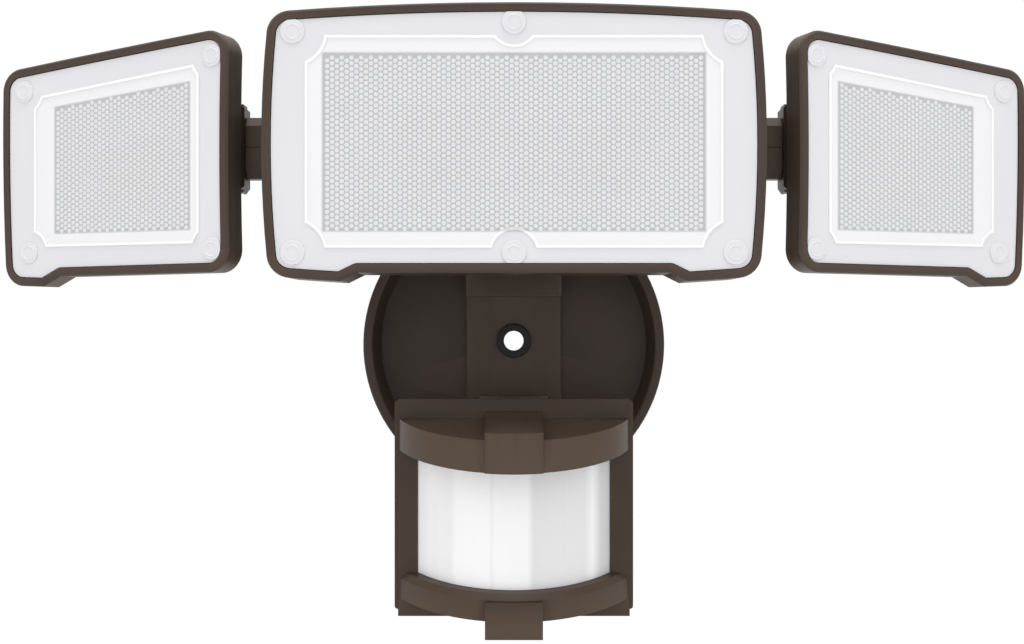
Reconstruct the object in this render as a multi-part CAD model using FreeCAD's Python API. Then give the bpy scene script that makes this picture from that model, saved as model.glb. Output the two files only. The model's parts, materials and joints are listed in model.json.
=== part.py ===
import FreeCAD, Part
import math
import os
from FreeCAD import Vector

# A wall-mounted security light: a round canopy, a wide centre head on a tilting
# knuckle, two smaller heads hinged to its sides, and a motion sensor below.
# Millimetres.  The origin is the centre of the canopy's bolt hole on the wall
# plane.  +X is the viewer's right, -Y is the front and +Z is up.

# ---------------------------------------------------------------- fits
SEAT = 0.03              # between a fixed shank and its hole
RUNNING = 0.05           # radial play of a pin that something turns on
SIDE_PLAY = 0.25         # play between faces that slide past each other
HOLE_SPARE = 0.3         # a blind hole is this much deeper than its screw or pin

# ---------------------------------------------------------------- canopy
CANOPY_RADIUS = 60.0     # covers a round ceiling box of 102
CANOPY_DROP = 1.35       # the disc's centre lies this far below the bolt hole
CANOPY_DEPTH = 23.0      # wall to the front of the rim
CANOPY_WALL = 3.4
RIM_WIDTH = 3.7
RIM_ROUND = 1.0
DISH_DEPTH = 11.5        # rim front to dish floor
DISH_DRAFT = 2.5
FLOOR_THICKNESS = 2.0
GASKET_THICKNESS = 2.0
GASKET_SETBACK = 0.6

PANEL_HALF_WIDTH = 19.25
PANEL_THICKNESS = 3.0
PANEL_END_GAP = 0.4
PANEL_EASE = 0.5
BOLT_BORE_RADIUS = 4.0
GROMMET_FLANGE_RADIUS = 6.9
GROMMET_FLANGE = 2.0
GROMMET_SLEEVE_WALL = 1.4

HEAD_BASE_BOTTOM = 17.8  # seam under the head's base
HEAD_BASE_TOP = 46.0
HEAD_BASE_HEIGHT = 11.5  # stands this far off the panel
HEAD_BASE_EASE = 1.2
BLOCK_SEAM = 0.35        # the base block is this much narrower than the panel, each side

DRIVER_HALF_WIDTH = 24.0
DRIVER_BOTTOM = 12.0
DRIVER_TOP = 38.0
DRIVER_THICKNESS = 6.0
DRIVER_CORNER = 2.0
BUSHING_RADIUS = 4.2
BUSHING_BORE = 2.4
BUSHING_LENGTH = 5.0
BUSHING_LIP = 1.2
BUSHING_LIP_WIDTH = 1.0

SCREW_RADIUS = 1.5
SCREW_HEAD_RADIUS = 2.8
SCREW_HEAD_HEIGHT = 1.6
HEAD_BASE_SCREW_X = 12.5
HEAD_BASE_SCREW_Z = 41.5
SENSOR_BASE_SCREW_X = 10.0
SENSOR_BASE_SCREW_DROP = 5.0     # below the sensor base's top
BASE_SCREW_BITE = 7.0

# ---------------------------------------------------------------- centre tilt
TILT_Y = -44.0
TILT_Z = 39.0
BALL_RADIUS = 14.0
LUG_HALF_WIDTH = 4.95
EAR_OUTER = 12.0
NECK_HALF_HEIGHT = 8.0
TILT_BOLT_RADIUS = 3.0
BOLT_HEAD_RADIUS = 5.2
BOLT_HEAD_HEIGHT = 3.5
BOLT_TAIL = 0.8              # of the bolt beyond its nut

# ---------------------------------------------------------------- heads, front stack
BEZEL_WIDTH = 3.1
BEZEL_DEPTH = 5.0
BEZEL_ROUND = 0.7
LENS_GAP = 0.25          # groove between bezel and lens
LENS_SETBACK = 0.6
LENS_THICKNESS = 2.0
LENS_SEAT = 1.0          # gasket thickness
SPIGOT_CLEARANCE = 0.2
SPIGOT_WIDTH = 2.3
HOUSING_WALL = 2.4
RIB_WIDTH = 1.0
RIB_HEIGHT = 0.4
POST_RADIUS = 3.0
POST_FIT = 0.05
LENS_SCREW_RADIUS = 1.4
LENS_SCREW_STOP = 0.8    # a screw ends this far behind the lens's face
LENS_HOLE_STOP = 0.6
LED_HEIGHT = 0.8
BOARD_THICKNESS = 1.6
TRAY_WALL = 1.0
TRAY_CLEARANCE = 0.5
TRAY_DEPTH_GAP = 0.4
BOARD_WINDOW_GAP = 0.4

# ---------------------------------------------------------------- centre head
CENTER_FRONT_Y = -95.0
CENTER_Z = 68.65
CENTER_HALF_WIDTH = 86.8     # at the widest, half way up
CENTER_HEIGHT = 97.5         # between the crowns of the top and bottom arcs
SIDE_ARC_RADIUS = 400.0
TOP_ARC_RADIUS = 1052.0
CORNER_RADIUS = 8.3
CENTER_CORNER_INSET = 3.4        # corners below the crown of the top and bottom arcs
FOOT_WIDTH = 27.2
FOOT_ROUND = 0.8
FOOT_RAMP = 5.8
RECESS_RISE = 4.6            # the straight bottom edge lies above the bottom crown
CENTER_DEPTH = 25.0          # rim face to the back wall
HUMP_INSET = 18.8
HUMP_HALF_HEIGHT = 30.0
HUMP_DEPTH = 8.5
HUMP_CORNER = 6.0
CENTER_BACK_EASE = 0.6
FIN_PITCH = 7.5
FIN_SLOT = 3.4
FIN_SLOT_DEPTH = 6.0
FIN_CLEAR_OF_LUG = 15.0
CENTER_BOSS_SIDE_INSET = 10.75
CENTER_BOSS_TOP_INSET = 10.1     # from the crown
CENTER_BOSS_MID_INSET = 6.8
CENTER_BOSS_BOTTOM_INSET = 11.5
CENTER_BOSS_RADIUS = 4.3
CENTER_RIB_SIDE_INSET = 15.0
CENTER_RIB_TOP_INSET = 11.35
CENTER_RIB_BOTTOM_INSET = 13.15
CORNER_NOTCH = 11.1
MID_NOTCH = 7.8
CENTER_BOARD_WIDTH = 85.0
CENTER_BOARD_HEIGHT = 29.2
CENTER_LED_COLUMNS = 10
CENTER_LED_ROWS = 4
CENTER_LED_PITCH_X = 8.65
CENTER_LED_PITCH_Z = 6.35
CENTER_BOARD_DEPTH = 10.0    # rim face to the board's front
LED_SIZE = 3.0

# ---------------------------------------------------------------- side arms and knuckles
ARM_AXIS_Y = -66.0
ARM_AXIS_Z = 70.6
ARM_ROOT_PROUD = 0.2         # the arm's root stands this far outside the centre head
ARM_END_X = 96.7
ARM_FRONT = 6.0              # in front of the axis
ARM_BACK = 6.5
ARM_HALF_HEIGHT = 11.1
ARM_CHAMFER = 3.4
ARM_SEAM = 0.2
ROOT_MARGIN = 1.6
JOURNAL_RADIUS = 3.4
COLLAR_RADIUS = 4.6
COLLAR_WIDTH = 1.6
COLLAR_PLAY = 0.3
ARM_SCREW_RADIUS = 1.3
ARM_SCREW_HEAD_RADIUS = 1.5
ARM_SCREW_HEAD_HEIGHT = 1.5
ARM_SCREW_INSET = 1.6        # from the arm's root
ARM_SCREW_COVER = 4.0        # of the arm above the screw's end
ARM_HOLE_COVER = 3.0
COLLAR_INSET = 3.6           # from the arm's root
FLANGE_GAP = 0.3
FLANGE_THICKNESS = 2.5
FLANGE_FRONT = 8.3
FLANGE_BACK = 5.7
FLANGE_HALF_HEIGHT = 15.9
FLANGE_CHAMFER = 1.8
SWIVEL_X = 107.0
BARREL_RADIUS = 5.5
KNUCKLE_NECK_HALF = 3.5
SWIVEL_PIN_RADIUS = 2.5
SWIVEL_PIN_HEAD_RADIUS = 4.2
SWIVEL_PIN_HEAD = 2.2
SWIVEL_PIN_DROP = 24.0       # pin's lower end below the arm axis
POCKET_PLAY = 0.8

# ---------------------------------------------------------------- side heads
SIDE_YAW = 20.0              # turned outward at rest, degrees
SIDE_FRONT_X = 99.0          # inner front edge
SIDE_FRONT_Y = -89.0
SIDE_WIDTH = 97.6
SIDE_INNER_BOTTOM = 25.1
SIDE_OUTER_BOTTOM = 21.2
SIDE_FOOT_BOTTOM = 20.6
SIDE_RECESS_END = 24.3
SIDE_FOOT_WIDTH = 18.2
SIDE_FOOT_RAMP = 7.7
SIDE_OUTER_TOP = 100.7
SIDE_INNER_TOP = 110.4
SIDE_TOE = 1.4               # the outer edge leans in this much at the bottom
SIDE_INNER_SAG = -0.8
SIDE_OUTER_SAG = 0.9
SIDE_TOP_SAG = 0.25
SIDE_SLAB_DEPTH = 9.2
SIDE_FLOOR = 2.0
SIDE_HUMP_INNER = 12.0
SIDE_HUMP_INSET = 15.6
SIDE_HUMP_BOTTOM = 33.0
SIDE_HUMP_TOP = 98.0
SIDE_HUMP_BACK = 26.0
SIDE_HUMP_CORNER = 6.0
SIDE_HOLLOW_INNER = 27.0
SIDE_HOLLOW_OUTER_WALL = 4.4
SIDE_HOLLOW_END_WALL = 3.4
SIDE_PEDESTAL_BITE = 1.4     # of the board's pedestal in the hump's back wall
SIDE_FIN_SLOT_DEPTH = 5.0
SIDE_BOSS_INNER = 7.2
SIDE_BOSS_OUTER_INSET = 9.7
SIDE_BOSS_FOOT_INSET = 11.8      # the boss over the foot sits further in
SIDE_BOSS_OUTER_DROP = 7.8       # below the outer and the inner top corner
SIDE_BOSS_INNER_DROP = 9.6
SIDE_BOSS_BOTTOM = 33.2
SIDE_BOSS_RADIUS = 4.0
SIDE_NOTCH = 7.9
SIDE_RIB_INNER = 12.4
SIDE_RIB_OUTER_INSET = 14.2
SIDE_RIB_BOTTOM = 35.2
SIDE_RIB_INNER_DROP = 12.0
SIDE_RIB_OUTER_DROP = 10.1
SIDE_BOARD_X = 41.5
SIDE_BOARD_Z = 62.0
SIDE_BOARD_WIDTH = 29.3
SIDE_BOARD_HEIGHT = 21.3
SIDE_LED_COLUMNS = 5
SIDE_LED_ROWS = 3
SIDE_LED_PITCH_X = 5.0
SIDE_LED_PITCH_Z = 5.96
SIDE_LED_SIZE = 2.6

# ---------------------------------------------------------------- sensor
SENSOR_PLANE_Y = -51.8       # back of the front cover
SENSOR_HALF_WIDTH = 43.2
SENSOR_TOP = -21.2
SENSOR_BOTTOM = -102.0
SENSOR_FRAME_DEPTH = 4.0
SENSOR_SLOPE = 0.2           # roof, soffit and ring fall forward by this ratio
ROOF_Z = -27.6               # roof height at the frame
SOFFIT_Z = -39.1
RING_TOP_Z = -85.0
RING_BOTTOM_Z = -94.6
CAP_REACH = 33.0             # roof front, from the sensor plane
RING_REACH = 25.0
LENS_REACH = 20.0
LENS_HALF_WIDTH = 35.9
SENSOR_SHELL = 2.0
SENSOR_LENS_THICKNESS = 1.2
SENSOR_LENS_TOP = -38.0
SENSOR_LENS_FIT = 0.15
LENS_BACK_GAP = 0.4          # the lens ends this far in front of the sensor plane
RING_CHAMFER = 2.0
STRAP_HALF_WIDTH = 10.35
STRAP_PROUD = 0.7
TAB_BOTTOM = -105.7
TAB_THICKNESS = 2.4
TAB_START = 0.4              # tab's top below the ring's eased edge
COVER_HALF_WIDTH = 44.9
COVER_BOTTOM = -100.4
COVER_TOP = -22.0
COVER_THICKNESS = 2.4
COVER_CORNER = 1.2
SENSOR_GASKET = 0.8
SENSOR_GASKET_WIDTH = 4.5
SENSOR_GASKET_SIDE_WIDTH = 6.5
SENSOR_GASKET_INSET = 0.4
SENSOR_GASKET_END_INSET = 0.6
SENSOR_SCREW_X = 39.5
SENSOR_SCREW_TOP = -29.0
SENSOR_SCREW_BOTTOM = -94.0
SENSOR_SCREW_RADIUS = 1.3
SENSOR_SCREW_BITE = 3.0
SENSOR_SCREW_HEAD_RADIUS = 2.5
SENSOR_SCREW_HEAD = 1.4

SWIVEL_Y = -30.0             # the sensor's upright pin
SENSOR_TILT_Y = -41.0        # the sensor's level pin
SENSOR_TILT_Z = -38.0
SENSOR_BASE_HALF_WIDTH = 14.0
SENSOR_BASE_TOP = -22.0
SENSOR_BASE_BOTTOM = -50.0
SENSOR_BASE_HEIGHT = 6.5
SENSOR_BASE_EASE = 1.0
EAR_THICKNESS = 5.0
SENSOR_BARREL_RADIUS = 6.5
SENSOR_BARREL_HALF = 4.7
SENSOR_LUG_HALF = 4.4
SENSOR_LUG_RADIUS = 6.0
SENSOR_EAR_WIDTH = 4.5
SENSOR_PIN_RADIUS = 2.0
SENSOR_PIN_HEAD_RADIUS = 3.4
SENSOR_PIN_HEAD = 1.8

PCB_HALF_WIDTH = 30.0
PCB_TOP = -32.0
PCB_BOTTOM = -84.0
PCB_STANDOFF = 1.4
PCB_POST_RADIUS = 2.5
PCB_POST_INSET = 4.0
ELEMENT_Z = -64.0
ELEMENT_RADIUS = 4.6
ELEMENT_HEIGHT = 4.2
ELEMENT_WINDOW_HALF_WIDTH = 2.0
ELEMENT_WINDOW_HALF_HEIGHT = 1.5
ELEMENT_WINDOW_DEPTH = 0.3
PHOTOCELL_X = 17.0
PHOTOCELL_Z = -50.0
PHOTOCELL_RADIUS = 2.5
PHOTOCELL_HEIGHT = 2.4

CONTROL_REACH = 11.5         # knob axes in front of the sensor plane
KNOB_X = 12.0
KNOB_RADIUS = 4.6
KNOB_HOLE_PLAY = 0.4
KNOB_PROUD = 2.2
KNOB_INSET = 2.6
KNOB_STEM_RADIUS = 1.5
KNOB_STEM = 3.5
KNOB_SLOT = 1.2
KNOB_EASE = 0.4
CONTROL_GAP = 1.0            # between a knob and the part it turns in
CONTROL_HOLE_REACH = 6.0     # above and below the ring's floor
POT_HALF = 4.0
SWITCH_WALL = 1.1
POT_HEIGHT = 5.0
POT_INSET = 0.5              # of a potentiometer inside its shelf
SLIDER_TRAVEL = 3.0
SLIDER_HALF_LENGTH = 2.4
SLIDER_HALF_WIDTH = 1.8

FORWARD = Vector(0, -1, 0)
BACK = Vector(0, 1, 0)
UP = Vector(0, 0, 1)
RIGHT = Vector(1, 0, 0)


# ================================================================ helpers
# A shape that only cuts runs 1 past each face that it opens.
def box(x0, x1, y0, y1, z0, z1):
    """Block between two corners, in any order."""
    low = Vector(min(x0, x1), min(y0, y1), min(z0, z1))
    return Part.makeBox(abs(x1 - x0), abs(y1 - y0), abs(z1 - z0), low)


def cylinder(radius, start, end):
    axis = end - start
    return Part.makeCylinder(radius, axis.Length, start, axis)


def along_y(radius, x, z, y0, y1):
    return cylinder(radius, Vector(x, y0, z), Vector(x, y1, z))


def along_z(radius, x, y, z0, z1):
    return cylinder(radius, Vector(x, y, z0), Vector(x, y, z1))


def along_x(radius, y, z, x0, x1):
    return cylinder(radius, Vector(x0, y, z), Vector(x1, y, z))


def fuse(shapes):
    """One solid from touching shapes."""
    first = shapes[0]
    whole = first.multiFuse(shapes[1:]) if len(shapes) > 1 else first
    return whole.removeSplitter()


def cut(shape, tools):
    for tool in tools:
        shape = shape.cut(tool)
    return shape


def edges_along(shape, direction, keep=lambda point: True):
    """Straight edges parallel to a direction whose middle passes the test."""
    found = []
    for edge in shape.Edges:
        if edge.Curve.TypeId != "Part::GeomLine":
            continue
        run = edge.Vertexes[1].Point - edge.Vertexes[0].Point
        if run.Length > 0 and run.cross(direction).Length < 1e-6 * run.Length:
            if keep(edge.CenterOfMass):
                found.append(edge)
    return found


# An outline is a list of corners (x, z, sag, radius), anticlockwise seen from the
# front.  The sag is how far the edge that starts at the corner bows outward, and
# the radius rounds the corner.
def sag_of(chord, radius):
    """How far an arc of a given radius bows over a chord."""
    return radius - math.sqrt(radius * radius - chord * chord / 4)


def edge_shape(start, end, sag):
    """Line or arc from one corner to the next, in the plane y = 0."""
    if sag == 0:
        return Part.LineSegment(start, end).toShape()
    run = end - start
    outward = Vector(run.z, 0, -run.x).normalize()
    crown = (start + end) * 0.5 + outward * sag
    return Part.Arc(start, crown, end).toShape()


def slab(corners, y0, y1):
    """Plate of an outline between two depths."""
    edges = []
    for index, (x, z, sag, _) in enumerate(corners):
        x2, z2 = corners[(index + 1) % len(corners)][:2]
        edges.append(edge_shape(Vector(x, 0, z), Vector(x2, 0, z2), sag))
    plate = Part.Face(Part.Wire(edges))
    plate.translate(Vector(0, y0, 0))
    plate = plate.extrude(Vector(0, y1 - y0, 0))
    for x, z, _, radius in corners:
        if radius > 0:
            upright = edges_along(plate, BACK, lambda p: math.hypot(p.x - x, p.z - z) < 0.05)
            plate = plate.makeFillet(radius, upright)
    return plate


def depth_inside(corners, index, x, z):
    """How far a point lies inside one edge of an outline, and the inward direction there."""
    x0, z0, sag, _ = corners[index]
    x1, z1 = corners[(index + 1) % len(corners)][:2]
    chord = math.hypot(x1 - x0, z1 - z0)
    inward_x, inward_z = (z0 - z1) / chord, (x1 - x0) / chord
    if sag == 0:
        return (x - x0) * inward_x + (z - z0) * inward_z, inward_x, inward_z
    radius = (chord * chord / 4 + sag * sag) / (2 * abs(sag))
    side = math.copysign(radius - abs(sag), sag)
    center_x = (x0 + x1) / 2 + inward_x * side
    center_z = (z0 + z1) / 2 + inward_z * side
    reach = math.hypot(x - center_x, z - center_z)
    sign = math.copysign(1, sag)
    return sign * (radius - reach), -sign * (x - center_x) / reach, -sign * (z - center_z) / reach


def inset(corners, distance):
    """The outline moved inward by a distance, each corner where its two edges meet again."""
    places = []
    for index in range(len(corners)):
        x, z = corners[index][:2]
        for _ in range(6):
            a, ax, az = depth_inside(corners, index - 1, x, z)
            b, bx, bz = depth_inside(corners, index, x, z)
            turn = ax * bz - az * bx
            x += ((distance - a) * bz - (distance - b) * az) / turn
            z += ((distance - b) * ax - (distance - a) * bx) / turn
        places.append((x, z))
    moved = []
    for index, (x0, z0, sag, radius) in enumerate(corners):
        following = (index + 1) % len(corners)
        old = math.hypot(corners[following][0] - x0, corners[following][1] - z0)
        new = math.dist(places[index], places[following])
        if sag != 0:
            bow = (old * old / 4 + sag * sag) / (2 * abs(sag))
            sag = math.copysign(sag_of(new, bow - math.copysign(distance, sag)), sag)
        _, ax, az = depth_inside(corners, index - 1, x0, z0)
        _, bx, bz = depth_inside(corners, index, x0, z0)
        hollow = ax * bz - az * bx < 0
        radius = radius + distance if hollow else max(radius - distance, 0)
        moved.append((places[index][0], places[index][1], sag, radius))
    return moved


def ring(corners, outer, inner, y0, y1):
    """Band between two insets of an outline."""
    return slab(inset(corners, outer), y0, y1).cut(slab(inset(corners, inner), y0 - 1, y1 + 1))


def screw(radius, head_radius, head_height, seat, direction, length):
    """Pan-head screw whose head stands behind its seat."""
    shank = cylinder(radius, seat, seat + direction * length)
    head = cylinder(head_radius, seat - direction * head_height, seat)
    rim = [edge for edge in head.Edges
           if (edge.CenterOfMass - (seat - direction * head_height)).Length < 1e-6]
    head = head.makeFillet(head_height * 0.45, rim)
    half_length, half_width = head_radius * 0.65, head_radius * 0.16
    slot = box(-half_length, half_length, -half_width, half_width, -head_height - 1, -head_height * 0.6)
    slot.Placement = FreeCAD.Placement(seat, FreeCAD.Rotation(UP, direction))
    return fuse([shank, head]).cut(slot)


def mirrored(shape):
    return shape.mirror(Vector(0, 0, 0), RIGHT)


# ================================================================ canopy
FLOOR_FRONT_Y = -(CANOPY_DEPTH - DISH_DEPTH)
FLOOR_BACK_Y = FLOOR_FRONT_Y + FLOOR_THICKNESS
DISH_FLOOR_RADIUS = CANOPY_RADIUS - RIM_WIDTH - DISH_DRAFT
PANEL_FRONT_Y = FLOOR_FRONT_Y - PANEL_THICKNESS
HEAD_BASE_FRONT_Y = PANEL_FRONT_Y - HEAD_BASE_HEIGHT
SENSOR_BASE_FRONT_Y = PANEL_FRONT_Y - SENSOR_BASE_HEIGHT
SLEEVE_RADIUS = BOLT_BORE_RADIUS + GROMMET_SLEEVE_WALL
DRIVER_BACK_Y = FLOOR_BACK_Y + DRIVER_THICKNESS
BUSHING_Z = (DRIVER_BOTTOM + DRIVER_TOP) / 2
BUSHING_START_Y = DRIVER_BACK_Y + BUSHING_LIP - BUSHING_LENGTH
SENSOR_BASE_SCREW_Z = SENSOR_BASE_TOP - SENSOR_BASE_SCREW_DROP


def base_screw_places():
    """Where the four screws pass the floor."""
    places = []
    for sign in (-1, 1):
        places.append((sign * HEAD_BASE_SCREW_X, HEAD_BASE_SCREW_Z))
        places.append((sign * SENSOR_BASE_SCREW_X, SENSOR_BASE_SCREW_Z))
    return places


def base_screw_holes():
    return [along_y(SCREW_RADIUS + SEAT, x, z, FLOOR_BACK_Y + 1, PANEL_FRONT_Y - BASE_SCREW_BITE - HOLE_SPARE)
            for x, z in base_screw_places()]


def canopy():
    """Round pan with a rolled rim, a dished front and an open back."""
    r, depth = CANOPY_RADIUS, CANOPY_DEPTH
    profile = [
        (r, -GASKET_THICKNESS), (r, -depth), (r - RIM_WIDTH, -depth),
        (DISH_FLOOR_RADIUS, FLOOR_FRONT_Y), (0, FLOOR_FRONT_Y), (0, FLOOR_BACK_Y),
        (r - CANOPY_WALL, FLOOR_BACK_Y), (r - CANOPY_WALL, -GASKET_THICKNESS)]
    points = [Vector(x, y, 0) for x, y in profile]
    face = Part.Face(Part.makePolygon(points + points[:1]))
    pan = face.revolve(Vector(0, 0, 0), BACK, 360)
    rims = [edge for edge in pan.Edges
            if abs(edge.CenterOfMass.y + depth) < 1e-3 and edge.Length > 2 * math.pi * (r - RIM_WIDTH - 1)]
    pan = pan.makeFillet(RIM_ROUND, rims)
    pan.translate(Vector(0, 0, -CANOPY_DROP))
    hole = along_y(SLEEVE_RADIUS + SEAT, 0, 0, FLOOR_BACK_Y + 1, FLOOR_FRONT_Y - 1)
    return cut(pan, [hole] + base_screw_holes())


def canopy_gasket():
    outer, inner = CANOPY_RADIUS - GASKET_SETBACK, CANOPY_RADIUS - CANOPY_WALL
    whole = along_y(outer, 0, -CANOPY_DROP, 0, -GASKET_THICKNESS)
    return whole.cut(along_y(inner, 0, -CANOPY_DROP, 1, -GASKET_THICKNESS - 1))


def center_panel():
    """Upright bar across the dish floor that carries both bases."""
    reach = DISH_FLOOR_RADIUS - PANEL_END_GAP
    bar = box(-PANEL_HALF_WIDTH, PANEL_HALF_WIDTH, FLOOR_FRONT_Y, PANEL_FRONT_Y, -reach * 2, reach * 2)
    bar = bar.common(along_y(reach, 0, -CANOPY_DROP, FLOOR_FRONT_Y + 1, PANEL_FRONT_Y - 1))
    bar = bar.makeChamfer(PANEL_EASE, edges_along(bar, UP, lambda p: abs(p.y - PANEL_FRONT_Y) < 1e-3))
    hole = along_y(SLEEVE_RADIUS + SEAT, 0, 0, FLOOR_FRONT_Y + 1, PANEL_FRONT_Y - 1)
    return cut(bar, [hole] + base_screw_holes())


def bolt_grommet():
    """Flanged sleeve that lines the bolt hole through panel and floor."""
    flange_y = PANEL_FRONT_Y - GROMMET_FLANGE
    flange = along_y(GROMMET_FLANGE_RADIUS, 0, 0, PANEL_FRONT_Y, flange_y)
    front = [edge for edge in flange.Edges if abs(edge.CenterOfMass.y - flange_y) < 1e-3]
    flange = flange.makeFillet(GROMMET_FLANGE * 0.4, front)
    sleeve = along_y(SLEEVE_RADIUS, 0, 0, PANEL_FRONT_Y, FLOOR_BACK_Y)
    bore = along_y(BOLT_BORE_RADIUS, 0, 0, FLOOR_BACK_Y + 1, flange_y - 1)
    return fuse([flange, sleeve]).cut(bore)


def tilt_ball(x0, x1):
    """Slice of the round knuckle between two x planes."""
    ball = Part.makeSphere(BALL_RADIUS, Vector(0, TILT_Y, TILT_Z))
    reach = BALL_RADIUS + 1
    return ball.common(box(x0, x1, TILT_Y - reach, TILT_Y + reach, TILT_Z - reach, TILT_Z + reach))


def tilt_bore():
    return along_x(TILT_BOLT_RADIUS + RUNNING, TILT_Y, TILT_Z, -EAR_OUTER - 1, EAR_OUTER + 1)


def head_base():
    """Block on the panel with two ears for the centre head's knuckle."""
    half = PANEL_HALF_WIDTH - BLOCK_SEAM
    block = box(-half, half, PANEL_FRONT_Y, HEAD_BASE_FRONT_Y, HEAD_BASE_BOTTOM, HEAD_BASE_TOP)
    rim = [e for e in block.Edges if abs(e.CenterOfMass.y - HEAD_BASE_FRONT_Y) < 1e-3]
    block = block.makeChamfer(HEAD_BASE_EASE, rim)
    pieces = [block]
    ear_inner = LUG_HALF_WIDTH + SIDE_PLAY
    for sign in (-1, 1):
        pieces.append(tilt_ball(sign * ear_inner, sign * EAR_OUTER))
        pieces.append(box(sign * ear_inner, sign * EAR_OUTER, TILT_Y, HEAD_BASE_FRONT_Y + 2,
                          TILT_Z - NECK_HALF_HEIGHT, HEAD_BASE_TOP - HEAD_BASE_EASE))
    return cut(fuse(pieces), [tilt_bore()] + base_screw_holes())


def driver_box():
    """Potted LED driver fixed behind the dish floor, with a hole for its bushing."""
    body = box(-DRIVER_HALF_WIDTH, DRIVER_HALF_WIDTH, FLOOR_BACK_Y, DRIVER_BACK_Y, DRIVER_BOTTOM, DRIVER_TOP)
    body = body.makeFillet(DRIVER_CORNER, edges_along(body, BACK))
    return body.cut(along_y(BUSHING_RADIUS, 0, BUSHING_Z, BUSHING_START_Y, DRIVER_BACK_Y + 1))


def lead_bushing():
    """Soft ring in the driver's back where the supply leads leave."""
    end_y = DRIVER_BACK_Y + BUSHING_LIP
    body = along_y(BUSHING_RADIUS - SEAT, 0, BUSHING_Z, BUSHING_START_Y, DRIVER_BACK_Y)
    lip = along_y(BUSHING_RADIUS + BUSHING_LIP_WIDTH, 0, BUSHING_Z, DRIVER_BACK_Y, end_y)
    return fuse([body, lip]).cut(along_y(BUSHING_BORE, 0, BUSHING_Z, BUSHING_START_Y - 1, end_y + 1))


def base_screws():
    length = FLOOR_BACK_Y - PANEL_FRONT_Y + BASE_SCREW_BITE
    return [screw(SCREW_RADIUS, SCREW_HEAD_RADIUS, SCREW_HEAD_HEIGHT,
                  Vector(x, FLOOR_BACK_Y, z), FORWARD, length) for x, z in base_screw_places()]


def tilt_bolt():
    """Hexagon-head bolt through ears and lug."""
    shank = along_x(TILT_BOLT_RADIUS, TILT_Y, TILT_Z, EAR_OUTER, -EAR_OUTER - BOLT_HEAD_HEIGHT - BOLT_TAIL)
    return fuse([shank, hexagon(EAR_OUTER, EAR_OUTER + BOLT_HEAD_HEIGHT)])


def tilt_nut():
    nut = hexagon(-EAR_OUTER - BOLT_HEAD_HEIGHT, -EAR_OUTER)
    return nut.cut(along_x(TILT_BOLT_RADIUS + SEAT, TILT_Y, TILT_Z,
                           -EAR_OUTER - BOLT_HEAD_HEIGHT - 1, -EAR_OUTER + 1))


def hexagon(x0, x1):
    corners = []
    for step in range(7):
        angle = math.radians(60 * step)
        corners.append(Vector(x0, TILT_Y + BOLT_HEAD_RADIUS * math.cos(angle),
                              TILT_Z + BOLT_HEAD_RADIUS * math.sin(angle)))
    return Part.Face(Part.makePolygon(corners)).extrude(Vector(x1 - x0, 0, 0))


# ================================================================ head front stack
LENS_BACK = LENS_SETBACK + LENS_THICKNESS
SPIGOT_FRONT = LENS_BACK + LENS_SEAT


def flat_edges(shape, y):
    """Edges that lie in a plane of constant depth."""
    return [e for e in shape.Edges if abs(e.BoundBox.YMin - y) < 1e-4 and e.BoundBox.YLength < 1e-4]


def bezel(corners):
    """Frame round the lens, its front edge eased."""
    block = slab(corners, 0, BEZEL_DEPTH)
    block = block.makeChamfer(BEZEL_ROUND, flat_edges(block, 0))
    return block.cut(slab(inset(corners, BEZEL_WIDTH), -1, BEZEL_DEPTH + 1))


def lens_gasket(corners):
    edge = BEZEL_WIDTH + LENS_GAP
    return ring(corners, edge, edge + SPIGOT_WIDTH, LENS_BACK, SPIGOT_FRONT)


def lens_plate(corners, rib, bosses, boss_radius):
    """Clear cover with a raised rib line and round bosses."""
    edge = inset(corners, BEZEL_WIDTH + LENS_GAP)
    within = slab(edge, -1, LENS_BACK)
    pieces = [slab(edge, LENS_SETBACK, LENS_BACK), rib]
    holes = []
    for x, z in bosses:
        boss = along_y(boss_radius, x, z, 0, LENS_SETBACK + 0.5)
        front = [e for e in boss.Edges if abs(e.CenterOfMass.y) < 1e-6 and e.Length > 1]
        pieces.append(boss.makeFillet(LENS_SETBACK * 0.6, front).common(within))
        holes.append(along_y(LENS_SCREW_RADIUS + SEAT, x, z, LENS_SETBACK + LENS_HOLE_STOP, LENS_BACK + 1))
    return cut(fuse(pieces), holes)


def rib_band(places, notches):
    """Raised line: a four-sided loop with a round bite at each boss."""
    front, back = LENS_SETBACK - RIB_HEIGHT, LENS_SETBACK + 0.5
    corners = [(x, z, 0, 0) for x, z in places]
    outer = slab(corners, front, back)
    inner = slab(inset(corners, RIB_WIDTH), front - 1, back + 1)
    for x, z, radius in notches:
        outer = outer.cut(along_y(radius, x, z, front - 2, back + 2))
        inner = inner.cut(along_y(radius + RIB_WIDTH, x, z, front - 2, back + 2))
    return outer.cut(inner)


def tray(corners, floor_y, board_x, board_z, board_width, board_height):
    """White pan behind the lens, with a window for the LED board."""
    edge = BEZEL_WIDTH + LENS_GAP + SPIGOT_WIDTH + TRAY_CLEARANCE
    front = SPIGOT_FRONT - LENS_SEAT + TRAY_DEPTH_GAP
    pan = slab(inset(corners, edge), front, floor_y)
    hollow = slab(inset(corners, edge + TRAY_WALL), front - 1, floor_y - TRAY_WALL)
    half_w = board_width / 2 + BOARD_WINDOW_GAP
    half_h = board_height / 2 + BOARD_WINDOW_GAP
    window = box(board_x - half_w, board_x + half_w, floor_y - TRAY_WALL - 1, floor_y + 1,
                 board_z - half_h, board_z + half_h)
    return cut(pan, [hollow, window])


def led_places(columns, rows, pitch_x, pitch_z, x, z):
    places = []
    for column in range(columns):
        for row in range(rows):
            places.append((x + (column - (columns - 1) / 2) * pitch_x, z + (row - (rows - 1) / 2) * pitch_z))
    return places


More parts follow.
